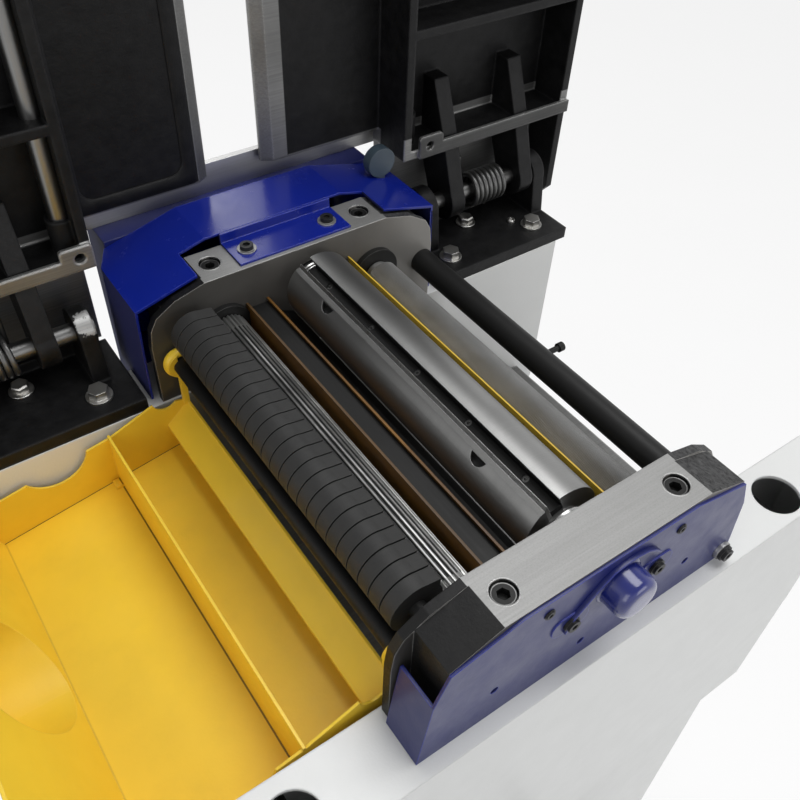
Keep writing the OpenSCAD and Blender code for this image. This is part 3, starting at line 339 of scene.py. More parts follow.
def cast_black(t, soft, edge, depth=0.00035):
    """Black enamel over a sand casting: colour, roughness and normal."""
    grain = t.noise(620.0, 4.0, 0.62)
    lumps = t.noise(95.0, 3.0, 0.5)
    c = t.mix(t.span(lumps, 0.3, 0.7), rgba((0.0030, 0.0030, 0.0033)), rgba((0.0080, 0.0080, 0.0084)))
    # Painted highlight: edges are mixed towards dark grey.
    c = t.mix(t.times(edge, 0.35), c, rgba((0.040, 0.040, 0.042)))
    dust = t.times(t.span(t.noise(26.0, 5.0, 0.7), 0.52, 0.78), 0.12)
    c = t.mix(dust, c, rgba((0.042, 0.040, 0.037)))
    r = t.span(grain, 0.3, 0.75, 0.40, 0.60)
    n = t.bump(grain, depth * 0.5, 0.8, soft)
    n = t.bump(lumps, depth * 2.0, 0.6, n)
    return c, r, n


def ground(t, soft, edge, dark=0.20, light=0.36, mark=0.5):
    """Ground or milled iron: fine lines along X, faint stains and a painted highlight on edges."""
    lines = t.noise(3.0, 5.0, 0.7, t.scaled(3.0, 260.0, 260.0))
    cloud = t.noise(14.0, 4.0, 0.6)
    dull = rgba((dark, dark, dark * 0.98))
    clean = rgba((light, light, light * 0.985))
    c = t.mix(t.span(cloud, 0.3, 0.72), dull, clean)
    c = t.mix(t.times(t.span(lines, 0.35, 0.68), mark), c, rgba((dark * 0.62,) * 3))
    # Painted highlight on edges.
    c = t.mix(t.times(edge, 0.5), c, rgba((0.62, 0.62, 0.61)))
    r = t.math("ADD", t.span(lines, 0.3, 0.7, 0.34, 0.48), t.span(cloud, 0.3, 0.8, 0.0, 0.08))
    n = t.bump(lines, 0.00005, 0.6, soft)
    return c, r, n


def black_cast(name, machined=None, dark=0.11, light=0.20):
    """Painted casting. machined(t) gives a mask of its milled faces, if it has any."""
    t = Tree(name)
    soft, edge = t.edges(0.0032)
    c, r, n = cast_black(t, soft, edge)
    if machined:
        mask = machined(t)
        c2, r2, n2 = ground(t, soft, edge, dark, light)
        t.set("Base Color", t.mix(mask, c, c2))
        t.set("Roughness", t.blend(mask, r, r2))
        t.set("Metallic", t.times(mask, 0.75))
        t.set("Normal", t.pick_normal(mask, n, n2))
    else:
        t.set("Base Color", c)
        t.set("Roughness", r)
        t.set("Normal", n)
    t.set("Specular IOR Level", 0.2)
    return t.m


GRAIN = {
    "x": (2.0, 420.0, 420.0),
    "y": (420.0, 2.0, 420.0),
    "round": (0.5, 900.0, 0.5),
}


def steel(
    name,
    base=0.42,
    rough=0.28,
    along="round",
    metallic=1.0,
    stain=0.35,
    radius=0.0006,
    tint=(1, 1, 0.985),
    line=0.00004,
    spec=0.5,
    dark=None,
):
    """Turned or ground steel with lines along or round the part, stains and a thin painted highlight on
    edges.

    dark(t) may give a mask of faces that are made near-black.
    """
    t = Tree(name)
    soft, edge = t.edges(radius)
    lines = t.noise(2.2, 4.0, 0.65, t.scaled(*GRAIN[along]))
    cloud = t.noise(22.0, 5.0, 0.62)
    c = rgba(tuple(base * v for v in tint))
    stained = rgba(tuple(base * 0.5 * v for v in tint))
    c = t.mix(t.times(t.span(cloud, 0.42, 0.72), stain), c, stained)
    c = t.mix(t.times(t.span(lines, 0.4, 0.7), 0.25), c, rgba((base * 0.6,) * 3))
    # Painted highlight on edges.
    c = t.mix(t.times(edge, 0.45), c, rgba((min(base * 1.7 + 0.08, 0.9),) * 3))
    r = t.span(lines, 0.3, 0.7, rough - 0.04, rough + 0.06)
    r = t.math("ADD", r, t.span(cloud, 0.3, 0.8, 0.0, 0.07))
    if dark:
        mask = dark(t)
        c = t.mix(mask, c, rgba((0.010, 0.010, 0.0105)))
        r = t.blend(mask, r, 0.48)
        t.set("Metallic", t.blend(mask, metallic, 0.25))
    else:
        t.set("Metallic", metallic)
    t.set("Base Color", c)
    t.set("Roughness", r)
    t.set("Specular IOR Level", spec)
    t.set("Normal", t.bump(lines, line, 0.6, soft))
    return t.m


def plastic(name, colour, rough=0.45, grain=0.00006, sss=0.0):
    """Moulded plastic or rubber with a fine grain and a faint painted highlight on edges."""
    t = Tree(name)
    c = lin(colour)
    soft, edge = t.edges(0.0012)
    cloud = t.noise(30.0, 4.0, 0.6)
    body = t.mix(t.span(cloud, 0.3, 0.7), rgba(c, 0.9), rgba(c, 1.08))
    # Painted highlight on edges.
    body = t.mix(t.times(edge, 0.2), body, rgba(tuple(v * 0.7 + 0.12 for v in c)))
    t.set("Base Color", body)
    t.set("Roughness", t.span(t.noise(90.0, 4.0, 0.6), 0.3, 0.7, rough - 0.06, rough + 0.08))
    t.set("Normal", t.bump(t.noise(1100.0, 2.0, 0.5), grain, 0.8, soft))
    if sss:
        t.set("Subsurface Weight", sss)
        t.set("Subsurface Radius", (0.01, 0.01, 0.012))
    return t.m


def bracket_material(name):
    """Bearing bracket: milled top, dark inner face with painted light towards the right and painted shade
    towards the left, smooth left end painted darker as shade and coarse cast right end.
    """
    t = Tree(name)
    soft, edge = t.edges(0.0012)
    p, n = t.places()
    top = t.span(n[2], 0.985, 0.995)
    flat = t.span(t.absolute(n[1]), 0.9, 0.97)
    rough_end = t.span(p[0], 0.080, 0.082)
    left_end_shade = t.span(p[0], -0.080, -0.082)
    cc, cr, cn = cast_black(t, soft, edge, 0.0003)
    pit = t.cells(300.0)
    hammer = t.bump(t.noise(240.0, 4.0, 0.62, distortion=0.8), 0.0045, 1.0, t.bump(pit, 0.0022, 1.0, soft))
    gray = t.mix(t.span(pit, 0.1, 0.6), rgba((0.022, 0.022, 0.023)), rgba((0.058, 0.058, 0.059)))
    # Painted shade: the left end of the casting is made darker.
    cc = t.mix(left_end_shade, cc, rgba((0.0022, 0.0022, 0.0024)))
    cc = t.mix(rough_end, cc, gray)
    cr = t.blend(rough_end, cr, 0.55)
    cn = t.pick_normal(rough_end, cn, hammer)
    gc, gr, gn = ground(t, soft, edge, 0.26, 0.31, 0.15)
    speck = t.noise(900.0, 2.0, 0.5)
    gc = t.mix(t.times(t.span(speck, 0.45, 0.7), 0.25), gc, rgba((0.17, 0.17, 0.168)))
    gr = t.math("ADD", gr, 0.08)
    fade = t.noise(9.0, 4.0, 0.6)
    fc = t.mix(t.span(fade, 0.3, 0.7), rgba((0.095, 0.090, 0.083)), rgba((0.160, 0.153, 0.143)))
    # Painted light and shade: the side faces are lighter towards the right end and darker towards the
    # left.
    fc = t.mix(t.span(p[0], 0.055, 0.115, 0.0, 0.45), fc, rgba((0.36, 0.35, 0.33)))
    fc = t.mix(t.span(p[0], -0.01, -0.12, 0.0, 0.72), fc, rgba((0.045, 0.044, 0.042)))
    # Painted highlight on the edges of the side faces.
    fc = t.mix(t.times(edge, 0.7), fc, rgba((0.55, 0.54, 0.52)))
    c = t.mix(flat, cc, fc)
    c = t.mix(top, c, gc)
    r = t.blend(flat, cr, t.span(fade, 0.3, 0.7, 0.36, 0.46))
    r = t.blend(top, r, gr)
    t.set("Base Color", c)
    t.set("Roughness", r)
    t.set("Metallic", t.either(t.times(flat, 0.35), t.times(top, 0.55)))
    t.set("Specular IOR Level", 0.35)
    t.set("Normal", t.pick_normal(t.either(flat, top), cn, gn))
    return t.m


def knurl_material(name, cx, cz, r):
    """Steel roller with a fine diamond knurl."""
    t = Tree(name)
    soft, edge = t.edges(0.0005)
    p, n = t.places()
    a = t.math("ARCTAN2", t.math("SUBTRACT", p[2], cz), t.math("SUBTRACT", p[0], cx))
    lines = 60.0
    u = t.times(a, lines)
    w = t.times(p[1], lines / r)
    k1 = t.math("SINE", t.math("ADD", u, w))
    k2 = t.math("SINE", t.math("SUBTRACT", u, w))
    h = t.times(k1, k2)
    side = t.span(t.absolute(n[1]), 0.5, 0.3)
    cloud = t.noise(20.0, 5.0, 0.62)
    c = t.mix(t.span(cloud, 0.3, 0.75), rgba((0.26, 0.26, 0.255)), rgba((0.40, 0.40, 0.395)))
    c = t.mix(t.times(t.span(h, -0.2, 0.7), 0.75), c, rgba((0.060, 0.060, 0.059)))
    neck = t.span(t.absolute(p[1]), 0.1480, 0.1483)
    c = t.mix(neck, c, rgba((0.50, 0.50, 0.49)))
    # Painted highlight on edges.
    c = t.mix(t.times(edge, 0.4), c, rgba((0.6, 0.6, 0.6)))
    t.set("Base Color", c)
    t.set("Metallic", 0.95)
    t.set("Roughness", t.span(cloud, 0.3, 0.7, 0.36, 0.48))
    strength = t.times(side, t.math("SUBTRACT", 1.0, neck))
    t.set("Normal", t.bump(h, 0.00026, strength, soft))
    return t.m


def flute_material(name, cx, cz, r):
    """Fluted roller: bright worn lands, dark grooves and clean turned necks."""
    t = Tree(name)
    soft, edge = t.edges(0.0003)
    p = t.xyz(t.pos)
    rad = t.from_axis(p, cx, cz)
    land = t.span(rad, r - 0.0013, r - 0.0006)
    shaft = t.span(rad, r - 0.0022, r - 0.0026)
    neck = t.either(shaft, t.span(t.absolute(p[1]), 0.1405, 0.1410))
    fine = t.noise(3.0, 4.0, 0.65, t.scaled(420.0, 2.0, 420.0))
    cloud = t.noise(24.0, 5.0, 0.62)
    bright = t.mix(t.span(cloud, 0.35, 0.7), rgba((0.34, 0.34, 0.335)), rgba((0.62, 0.62, 0.61)))
    c = t.mix(land, rgba((0.022, 0.022, 0.0225)), bright)
    c = t.mix(neck, c, rgba((0.40, 0.40, 0.392)))
    c = t.mix(t.times(t.span(fine, 0.4, 0.7), 0.25), c, rgba((0.10, 0.10, 0.098)))
    # Painted highlight on edges.
    c = t.mix(t.times(edge, 0.35), c, rgba((0.60, 0.60, 0.59)))
    t.set("Base Color", c)
    t.set("Metallic", t.blend(t.either(land, neck), 0.5, 1.0))
    t.set("Roughness", t.span(cloud, 0.3, 0.7, 0.26, 0.38))
    t.set("Normal", t.bump(fine, 0.00003, 0.6, soft))
    return t.m


def table_faces(sign, edge_x):
    """Mask of the milled faces of a raised table: its top (now facing back), lip edge and strip plate."""

    def mask(t):
        p, n = t.places()
        top = t.span(n[1], 0.9, 0.97)
        lip = t.span(t.times(p[0], sign), edge_x + 0.0004, edge_x - 0.0004)
        low = t.times(t.span(p[2], LIP_Z[0] + 0.001, LIP_Z[0]), t.span(p[1], 0.262, 0.264))
        across = t.times(t.span(p[1], 0.2258, 0.2254), t.span(p[1], 0.2200, 0.2206))
        strip = t.times(across, t.span(p[2], 0.8730, 0.8738), t.span(p[2], 0.8962, 0.8955))
        return t.either(top, low, lip, strip)

    return mask


def in_slots(t):
    """Mask of the slot walls and notches of the cutterblock."""
    p, n = t.places()
    rad = t.from_axis(p, CUTTER_X, CUTTER_Z)
    below = t.span(rad, CUTTER_R - 0.0014, CUTTER_R - 0.0020)
    outside = t.span(rad, SHAFT_R, SHAFT_R + 0.0003)
    return t.times(below, outside, t.span(t.absolute(n[1]), 0.7, 0.5))


def chip_paint(name):
    """Yellow sheet, clean right of the cutterblock and painted dark brown left of it as shade, darker
    still at its top.
    """
    t = Tree(name)
    soft = t.edges(0.0005)[0]
    p = t.xyz(t.pos)
    left = t.span(p[0], -0.01, -0.012)
    cloud = t.noise(40.0, 5.0, 0.65, t.scaled(1.0, 0.25, 1.0))
    clean = t.mix(t.span(cloud, 0.3, 0.7), rgba((0.62, 0.40, 0.03)), rgba((0.74, 0.50, 0.05)))
    # Painted shade: left of the cutterblock the yellow is replaced by brown, darker at the top edges.
    shade_brown = t.mix(t.span(cloud, 0.35, 0.65), rgba((0.060, 0.024, 0.002)), rgba((0.190, 0.084, 0.007)))
    shade_brown = t.mix(t.span(p[2], 0.8345, 0.8355, 0.0, 0.55), shade_brown, rgba((0.030, 0.022, 0.012)))
    t.set("Base Color", t.mix(left, clean, shade_brown))
    t.set("Roughness", t.span(cloud, 0.3, 0.7, 0.40, 0.55))
    t.set("Normal", t.bump(t.noise(500.0, 2.0, 0.5), 0.00006, 0.8, soft))
    return t.m


def black_screws(t):
    """Mask of the black screws, without their plated washers."""
    p = t.xyz(t.pos)
    strip = t.times(t.span(p[2], 0.8717, 0.8719), t.span(p[2], 0.87335, 0.87315))
    cover = t.times(t.span(p[1], -0.2061, -0.2059), t.span(p[1], -0.2029, -0.2031))
    end = t.times(cover, t.span(p[0], 0.119, 0.120))
    return t.math("SUBTRACT", 1.0, t.either(strip, end))


def worn_lug(t):
    """Mask of the bare patch on the hinge lug that the left table rubs."""
    p, n = t.places()
    centre = (-0.1690, 0.2110, 0.8330)
    far = t.reach(*(t.math("SUBTRACT", v, c) for v, c in zip(p, centre)))
    near = t.span(far, 0.017, 0.008)
    ragged = t.span(t.math("ADD", t.times(near, 0.5), t.noise(230.0, 4.0, 0.65)), 0.82, 0.90)
    return t.times(ragged, t.span(near, 0.0, 0.2), t.span(t.absolute(n[0]), 0.7, 0.5))


def throat_shade(t):
    """Mask of the inner faces of the walls where boards pass, painted darker as shade."""
    p, n = t.places()
    between = t.span(t.absolute(p[1]), WALL_INNER_Y + 0.0005, WALL_INNER_Y)
    inner = t.times(between, t.span(t.absolute(n[1]), 0.8, 0.9))
    wide = t.times(t.span(t.absolute(p[0]), 0.16, 0.10), t.span(p[2], 0.80, 0.77))
    return t.times(inner, wide, t.span(t.noise(12.0, 4.0, 0.6), 0.1, 0.5, 0.8, 1.0))


def left_side(t):
    """Mask of the faces that look to the left, which the blue paints dull and darken as painted shade."""
    return t.span(t.xyz(t.nrm)[0], -0.90, -0.97)


def upper_faces(t):
    """Mask of the faces that look up."""
    return t.span(t.xyz(t.nrm)[2], 0.9, 0.97)


PRIMER = "16181c"
WALL_PAINT = {
    "rough": 0.42,
    "peel": 0.00008,
    "radius": 0.0022,
    "coat": 0.08,
    "dirt": 0.035,
    "uneven": (0.975, 1.015),
}

# Materials by look, and the nodes that wear each look.
M = {
    "white": paint("white_paint", "dcdddc", **WALL_PAINT),
    "wall": paint("wall_paint", "dcdddc", stain=throat_shade, **WALL_PAINT),
    "blue": paint(
        "blue_paint",
        "0f2080",
        rough=0.21,
        peel=0.00005,
        radius=0.0012,
        coat=0.0,
        dirt=0.10,
        chip=0.25,
        under=PRIMER,
        rim="2440cc",
        matt=left_side,
    ),
    "navy": paint(
        "navy_paint",
        "151d5c",
        rough=0.38,
        peel=0.00006,
        radius=0.0012,
        coat=0.1,
        dirt=0.16,
        chip=0.25,
        under=PRIMER,
        rim="2a3cc8",
    ),
    "cap_navy": paint("cap_paint", "18226c", rough=0.20, peel=0.00003, radius=0.0008, coat=0.6, dirt=0.10),
    "deep_blue": paint(
        "deep_blue_paint",
        "111b62",
        rough=0.38,
        peel=0.00007,
        radius=0.0016,
        coat=0.0,
        chip=0.2,
        under=PRIMER,
        gloss=0.4,
        matt=left_side,
    ),
    "yellow": paint(
        "yellow_paint", "f3cd38", rough=0.42, peel=0.00006, coat=0.1, dirt=0.07, joints=hood_joint_shade
    ),
    "chip": chip_paint("chip_plate_paint"),
    "bracket": bracket_material("bracket_iron"),
    "iron": black_cast("machined_casting", upper_faces, 0.14, 0.24),
    "cast": black_cast("black_casting"),
    "left_base": black_cast("left_base_casting", worn_lug, 0.30, 0.46),
    "outfeed_table": black_cast("outfeed_table_iron", table_faces(-1, 0.0362), 0.17, 0.27),
    "infeed_table": black_cast("infeed_table_iron", table_faces(1, 0.0500), 0.17, 0.27),
    "drum": steel("cutterblock_steel", 0.28, 0.38, stain=0.25, line=0.00002, dark=in_slots),
    "steel": steel("bright_steel", 0.50, 0.26),
    "flutes": flute_material("fluted_roller", -ROLLER_X, ROLLER_Z, ROLLER_R),
    "bar": steel("ground_bar", 0.23, 0.30, stain=0.2),
    "pin": steel("oiled_pin", 0.19, 0.34, stain=0.4),
    "glint": steel("screw_black", 0.16, 0.26, metallic=0.9, stain=0.3, radius=0.0004, line=0.00002),
    "ring": steel("turned_ring", 0.46, 0.24, stain=0.15, radius=0.0003, line=0.00002),
    "oxide": steel("blackened_steel", 0.016, 0.46, "y", 0.45, stain=0.3, line=0.00003, spec=0.35),
    "screws": steel("screw_steel", 0.42, 0.34, metallic=0.9, stain=0.3, line=0.00002, dark=black_screws),
    "bush": steel("bush_steel", 0.030, 0.42, metallic=0.6, stain=0.3, line=0.00003, spec=0.35),
    "fingers": steel("finger_steel", 0.034, 0.55, "x", 0.2, 0.3, 0.0005, line=0.00003, spec=0.3),
    "black_steel": steel("black_rod", 0.010, 0.46, metallic=0.2, stain=0.3, spec=0.3),
    "spring": steel("spring_steel", 0.13, 0.38, "x", metallic=0.9, stain=0.4),
    "zinc": steel("zinc_plate", 0.58, 0.30, stain=0.3, tint=(1.0, 0.985, 0.94)),
    "alu": steel("aluminium", 0.50, 0.40, "x", stain=0.15),
    "knurl": knurl_material("knurled_roller", ROLLER_X, ROLLER_Z, 0.0155),
    "motor": paint("motor_paint", "2c2f34", rough=0.46, peel=0.0001, radius=0.0012, coat=0.05, dirt=0.15),
    "rubber": plastic("belt_rubber", "1c1c1d", rough=0.72, grain=0.00012),
    "black_plastic": plastic("black_plastic", "161617", rough=0.50),
    "green": plastic("green_plastic", "1f8a44", rough=0.3, grain=0.00002),
    "red": plastic("red_plastic", "b81f19", rough=0.3, grain=0.00002),
    "buffer": plastic("buffer_plastic", "38454f", rough=0.38, grain=0.00003, sss=0.2),
}

LOOK = {
    "white": "base_cabinet access_panel",
    "wall": "front_wall rear_wall",
    "blue": "drive_cover cover_strip",
    "navy": "front_cover bearing_cap",
    "deep_blue": "belt_guard",
    "yellow": "dust_hood",
    "chip": "chip_plates",
    "bracket": "front_bracket rear_bracket",
    "iron": "feed_gearbox column_guide thickness_bed",
    "cast": "infeed_hinge_base lift_gearbox",
    "left_base": "outfeed_hinge_base",
    "outfeed_table": "outfeed_table",
    "infeed_table": "infeed_table",
    "drum": "cutter_drum",
    "steel": "cutter_bearings knives lift_column leadscrew motor_pulley",
    "flutes": "infeed_roller",
    "bar": "outfeed_lock infeed_lock",
    "pin": "hinge_pins",
    "glint": "wedge_screws",
    "oxide": "wedge_bars pressure_screws feed_chains feed_sprocket pressure_bar catch_pins",
    "screws": "cover_screws",
    "bush": "roller_collars",
    "fingers": "kickback_fingers",
    "black_steel": "hood_rod tie_rod finger_rod",
    "spring": "outfeed_spring infeed_spring",
    "zinc": "hinge_bolts",
    "alu": "fence_rail cutter_pulley",
    "knurl": "outfeed_roller",
    "motor": "motor",
    "rubber": "drive_belt",
    "black_plastic": "switch_box cable_inlet handwheel handwheel_grip",
    "green": "start_button",
    "red": "stop_button",
    "buffer": "table_buffer",
}
for look, names in LOOK.items():
    for n in names.split():
        o = nodes[n]
        for i in range(max(1, len(o.data.materials))):
            if i < len(o.data.materials):
                o.data.materials[i] = M[look]
            else:
                o.data.materials.append(M[look])


# Pieces that stand for plain solids or sit on them.
def solid(name, verts, faces, look, body, smooth=40.0, bevel=0.0):
    """A mesh object on a body, with real rounded edges when bevel is set.

    Edges that turn by less than the angle smooth, in degrees, are shaded as round.
    """
    me = bpy.data.meshes.new(name)
    me.from_pydata([tuple(v) for v in verts], [], faces)
    bm = bmesh.new()
    bm.from_mesh(me)
    bmesh.ops.remove_doubles(bm, verts=bm.verts, dist=1e-7)
    bmesh.ops.recalc_face_normals(bm, faces=bm.faces)
    if bevel:
        sharp = math.radians(25)
        es = [e for e in bm.edges if len(e.link_faces) == 2 and e.calc_face_angle(0.0) > sharp]
        how = {"segments": 3, "profile": 0.5, "affect": "EDGES", "clamp_overlap": True}
        bmesh.ops.bevel(bm, geom=es, offset=bevel, **how)
    for f in bm.faces:
        f.smooth = True
    for e in bm.edges:
        e.smooth = len(e.link_faces) == 2 and e.calc_face_angle(0.0) < math.radians(smooth)
    bm.to_mesh(me)
    bm.free()
    me.materials.append(M[look])
    o = bpy.data.objects.new(name, me)
    scene.collection.objects.link(o)
    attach(o, body)
    return o


# Two directions across each turning axis, and the axis itself.
TURN_AXES = {
    "y": ((1, 0, 0), (0, 0, 1), (0, 1, 0)),
    "z": ((1, 0, 0), (0, 1, 0), (0, 0, 1)),
}


def turned(name, profile, at, axis, look, body, n=72, closed=False):
    """Revolves (radius, along) points round an axis through at."""
    at = Vector(at)
    u, v, w = (Vector(k) for k in TURN_AXES[axis])
    verts, faces = [], []
    m = len(profile)
    for i in range(n):
        a = 2 * math.pi * i / n
        for r, h in profile:
            verts.append(at + u * (r * math.cos(a)) + v * (r * math.sin(a)) + w * h)
    for i in range(n):
        j = (i + 1) % n
        for k in range(m if closed else m - 1):
            q = (k + 1) % m
            faces.append((i * m + k, i * m + q, j * m + q, j * m + k))
    return solid(name, verts, faces, look, body)


def wire(name, path, r, look, body, sides=20):
    """A round wire along a path, with domed ends."""
    path = [Vector(p) for p in path]
    dome, tip = 0.6, 1e-5
    end_steps = (0.35, 0.7, 0.95)
    rings = []
    ref = None
    for i, p in enumerate(path):
        t = (path[min(i + 1, len(path) - 1)] - path[max(i - 1, 0)]).normalized()
        if ref is None:
            ref = t.orthogonal().normalized()
        ref = (ref - t * ref.dot(t)).normalized()
        side = t.cross(ref)
        if i == 0:
            for f in reversed(end_steps):
                width = r * math.sqrt(1 - f * f) + tip
                rings.append((p - t * r * f * dome, width, ref.copy(), side.copy()))
        rings.append((p, r, ref.copy(), side.copy()))
        if i == len(path) - 1:
            for f in end_steps:
                width = r * math.sqrt(1 - f * f) + tip
                rings.append((p + t * r * f * dome, width, ref.copy(), side.copy()))
    verts, faces = [], []
    for c, rr, a, b in rings:
        for k in range(sides):
            g = 2 * math.pi * k / sides
            verts.append(c + a * (rr * math.cos(g)) + b * (rr * math.sin(g)))
    for i in range(len(rings) - 1):
        for k in range(sides):
            q = (k + 1) % sides
            faces.append((i * sides + k, i * sides + q, (i + 1) * sides + q, (i + 1) * sides + k))
    faces.append(tuple(range(sides)))
    faces.append(tuple(range(len(rings) * sides - 1, (len(rings) - 1) * sides - 1, -1)))
    return solid(name, verts, faces, look, body, smooth=60.0)


def spring(name, sign):
    """The hinge spring, with its coils and its two arms where the solid has them."""
    mid, coils, wire_d, rad = 0.248, 7, 0.005, 0.0155
    per_coil = 32
    length = coils * (wire_d + 0.0007)
    start, end = mid - length / 2, mid + length / 2
    arm_y = HINGE_Y + rad
    pts = [(start, arm_y, HINGE_Z + 0.030 - 0.003 * k) for k in range(9)]
    n = coils * per_coil
    for i in range(n + 1):
        a = 2 * math.pi * coils * i / n
        y, z = HINGE_Y + rad * math.cos(a), HINGE_Z - rad * math.sin(a)
        pts.append((start + length * i / n, y, z))
    pts += [(end, arm_y, HINGE_Z - 0.004 - 0.0045 * k) for k in range(8)]
    return wire(name, [(sign * x, y, z) for x, y, z in pts], wire_d / 2, "spring", "frame")


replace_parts(spring("infeed_spring_wire", 1), "infeed_spring")
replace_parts(spring("outfeed_spring_wire", -1), "outfeed_spring")


def rounded(x0, z0, x1, z1, r, n=8):
    """Corner points of a rounded rectangle, anticlockwise."""
    pts = []
    centres = ((x1 - r, z1 - r), (x0 + r, z1 - r), (x0 + r, z0 + r), (x1 - r, z0 + r))
    for quarter, (cx, cz) in enumerate(centres):
        for k in range(n + 1):
            g = math.radians(90 * quarter + 90 * k / n)
            pts.append((cx + r * math.cos(g), cz + r * math.sin(g)))
    return pts


def rim(name, outer, inner, y0, y1, look, body, bevel):
    """A flat ring between two outlines of equal count in X and Z, from y0 to y1."""
    n = len(outer)
    verts = [(x, y, z) for y in (y0, y1) for loop in (outer, inner) for x, z in loop]
    faces = []
    for i in range(n):
        j = (i + 1) % n
        faces += [
            (i, j, n + j, n + i),
            (2 * n + j, 2 * n + i, 3 * n + i, 3 * n + j),
            (i, 2 * n + i, 2 * n + j, j),
            (n + j, 3 * n + j, 3 * n + i, n + i),
        ]
    return solid(name, verts, faces, look, body, bevel=bevel)


# Raised rims on the undersides of the table lips.
for table, lip_x, recess_x in (
    ("outfeed", (-0.1475, -0.0372), (-0.136, -0.049)),
    ("infeed", (0.0505, 0.1475), (0.062, 0.136)),
):
    outer = rounded(lip_x[0], LIP_Z[0], lip_x[1], LIP_Z[1], 0.004)
    inner = rounded(recess_x[0], RECESS_Z[0], recess_x[1], RECESS_Z[1], 0.012)
    rim(table + "_lip_rim", outer, inner, *LIP_FACE_Y, "cast", table + "_table", 0.0005)

# Bearing cap with a soft round front and a bent strap above it.
CAP_PROFILE = [
    (0.0, -0.0195),
    (0.0060, -0.01948),
    (0.0100, -0.0194),
    (0.0118, -0.0192),
    (0.0134, -0.0186),
    (0.0146, -0.0177),
    (0.0155, -0.0165),
    (0.0161, -0.0149),
    (0.0164, -0.0130),
    (0.0165, -0.0110),
    (0.0166, -0.0028),
    (0.0170, -0.0014),
    (0.0182, -0.0008),
    (0.0186, 0.0),
    (0.0, 0.0),
]
CAP_BASE = (CUTTER_X, COVER_FRONT_Y, CUTTER_Z)
cap = turned("bearing_cap_dome", CAP_PROFILE, CAP_BASE, "y", "cap_navy", "frame")
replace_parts(cap, "bearing_cap")


def strap(name, path, y0, y1, t, look, body, bevel):
    """A bent sheet that follows a path of X and Z points, standing out from y0 to y1."""
    pts = [Vector((x, 0, z)) for x, z in path]
    off = []
    for i, p in enumerate(pts):
        d = (pts[min(i + 1, len(pts) - 1)] - pts[max(i - 1, 0)]).normalized()
        off.append(Vector((-d.z, 0, d.x)) * (t / 2))
    n = len(pts)
    verts = []
    for y in (y0, y1):
        verts += [p + o + Vector((0, y, 0)) for p, o in zip(pts, off)]
        verts += [p - o + Vector((0, y, 0)) for p, o in zip(pts, off)]
    faces = []
    for i in range(n - 1):
        faces += [
            (i, i + 1, n + i + 1, n + i),
            (2 * n + i + 1, 2 * n + i, 3 * n + i, 3 * n + i + 1),
            (i, 2 * n + i, 2 * n + i + 1, i + 1),
            (n + i + 1, 3 * n + i + 1, 3 * n + i, n + i),
        ]
    faces += [(0, n, 3 * n, 2 * n), (n - 1, 3 * n - 1, 4 * n - 1, 2 * n - 1)]
    return solid(name, verts, faces, look, body, bevel=bevel, smooth=30)


STRAP_PATH = [
    (-0.0335, 0.8205),
    (-0.0325, 0.8270),
    (-0.0285, 0.8330),
    (-0.0175, 0.8455),
    (-0.0085, 0.8545),
    (-0.002, 0.8592),
    (0.006, 0.8612),
    (0.016, 0.8612),
    (0.026, 0.8592),
    (0.034, 0.8545),
    (0.0405, 0.8480),
]
STRAP_Y = (COVER_FRONT_Y + 0.0002, COVER_FRONT_Y - 0.0034)
strap("cap_strap", STRAP_PATH, *STRAP_Y, 0.0016, "navy", "frame", 0.0004)

# Corner tabs that hold the divider to the tray's floor.
TAB_X = (DIVIDER_X - 0.0065, DIVIDER_X)
TAB_Z = (0.7110, 0.7150)
TAB_Y = 0.1470
TAB_HALF = 0.0045
BOX_FACES = [(0, 1, 2, 3), (4, 5, 6, 7), (0, 1, 5, 4), (1, 2, 6, 5), (2, 3, 7, 6), (3, 0, 4, 7)]
for tag, y in (("rear", TAB_Y), ("front", -TAB_Y)):
    low, high = y - TAB_HALF, y + TAB_HALF
    outline = ((TAB_X[0], low), (TAB_X[1], low), (TAB_X[1], high), (TAB_X[0], high))
    corners = [(x, v, z) for z in TAB_Z for x, v in outline]
    solid("divider_tab_" + tag, corners, BOX_FACES, "yellow", "hood", bevel=0.0008)

# Yellow eyes of the dust hood round its rod.
EYE_Y = 0.1561
EYE_POINTS = 20
turns = [2 * math.pi * k / EYE_POINTS for k in range(EYE_POINTS)]
EYE_PROFILE = [(0.0101 + 0.0034 * math.cos(a), 0.0045 * math.sin(a)) for a in turns]
for tag, y in (("rear", EYE_Y), ("front", -EYE_Y)):
    at = (HOOD_ROD_X, y, HOOD_ROD_Z)
    turned("hood_eye_" + tag, EYE_PROFILE, at, "y", "yellow", "hood", closed=True)

# Bright chamfers round the counterbores and on the screw heads in them.
BORE_PROFILE = [
    (0.00870, -0.0012),
    (0.00885, -0.0006),
    (0.00940, 0.00012),
    (0.00965, 0.00002),
    (0.00965, -0.0002),
    (0.0090, -0.0012),
]
HEAD_PROFILE = [
    (0.00690, 0.00004),
    (0.00745, 0.00010),
    (0.00800, -0.00030),
    (0.00800, -0.0012),
    (0.0070, -0.0012),
]
for tag, sy in (("front", -1), ("rear", 1)):
    for side, sx in (("left", -1), ("right", 1)):
        where = tag + "_" + side
        bore = (sx * COUNTERBORE_X, sy * COUNTERBORE_Y, TOP_Z)
        head = (sx * COUNTERBORE_X, sy * COUNTERBORE_Y, SCREW_HEAD_Z)
        turned("bore_ring_" + where, BORE_PROFILE, bore, "z", "ring", "frame", 64, closed=True)
        turned("head_ring_" + where, HEAD_PROFILE, head, "z", "glint", "frame", 64, closed=True)

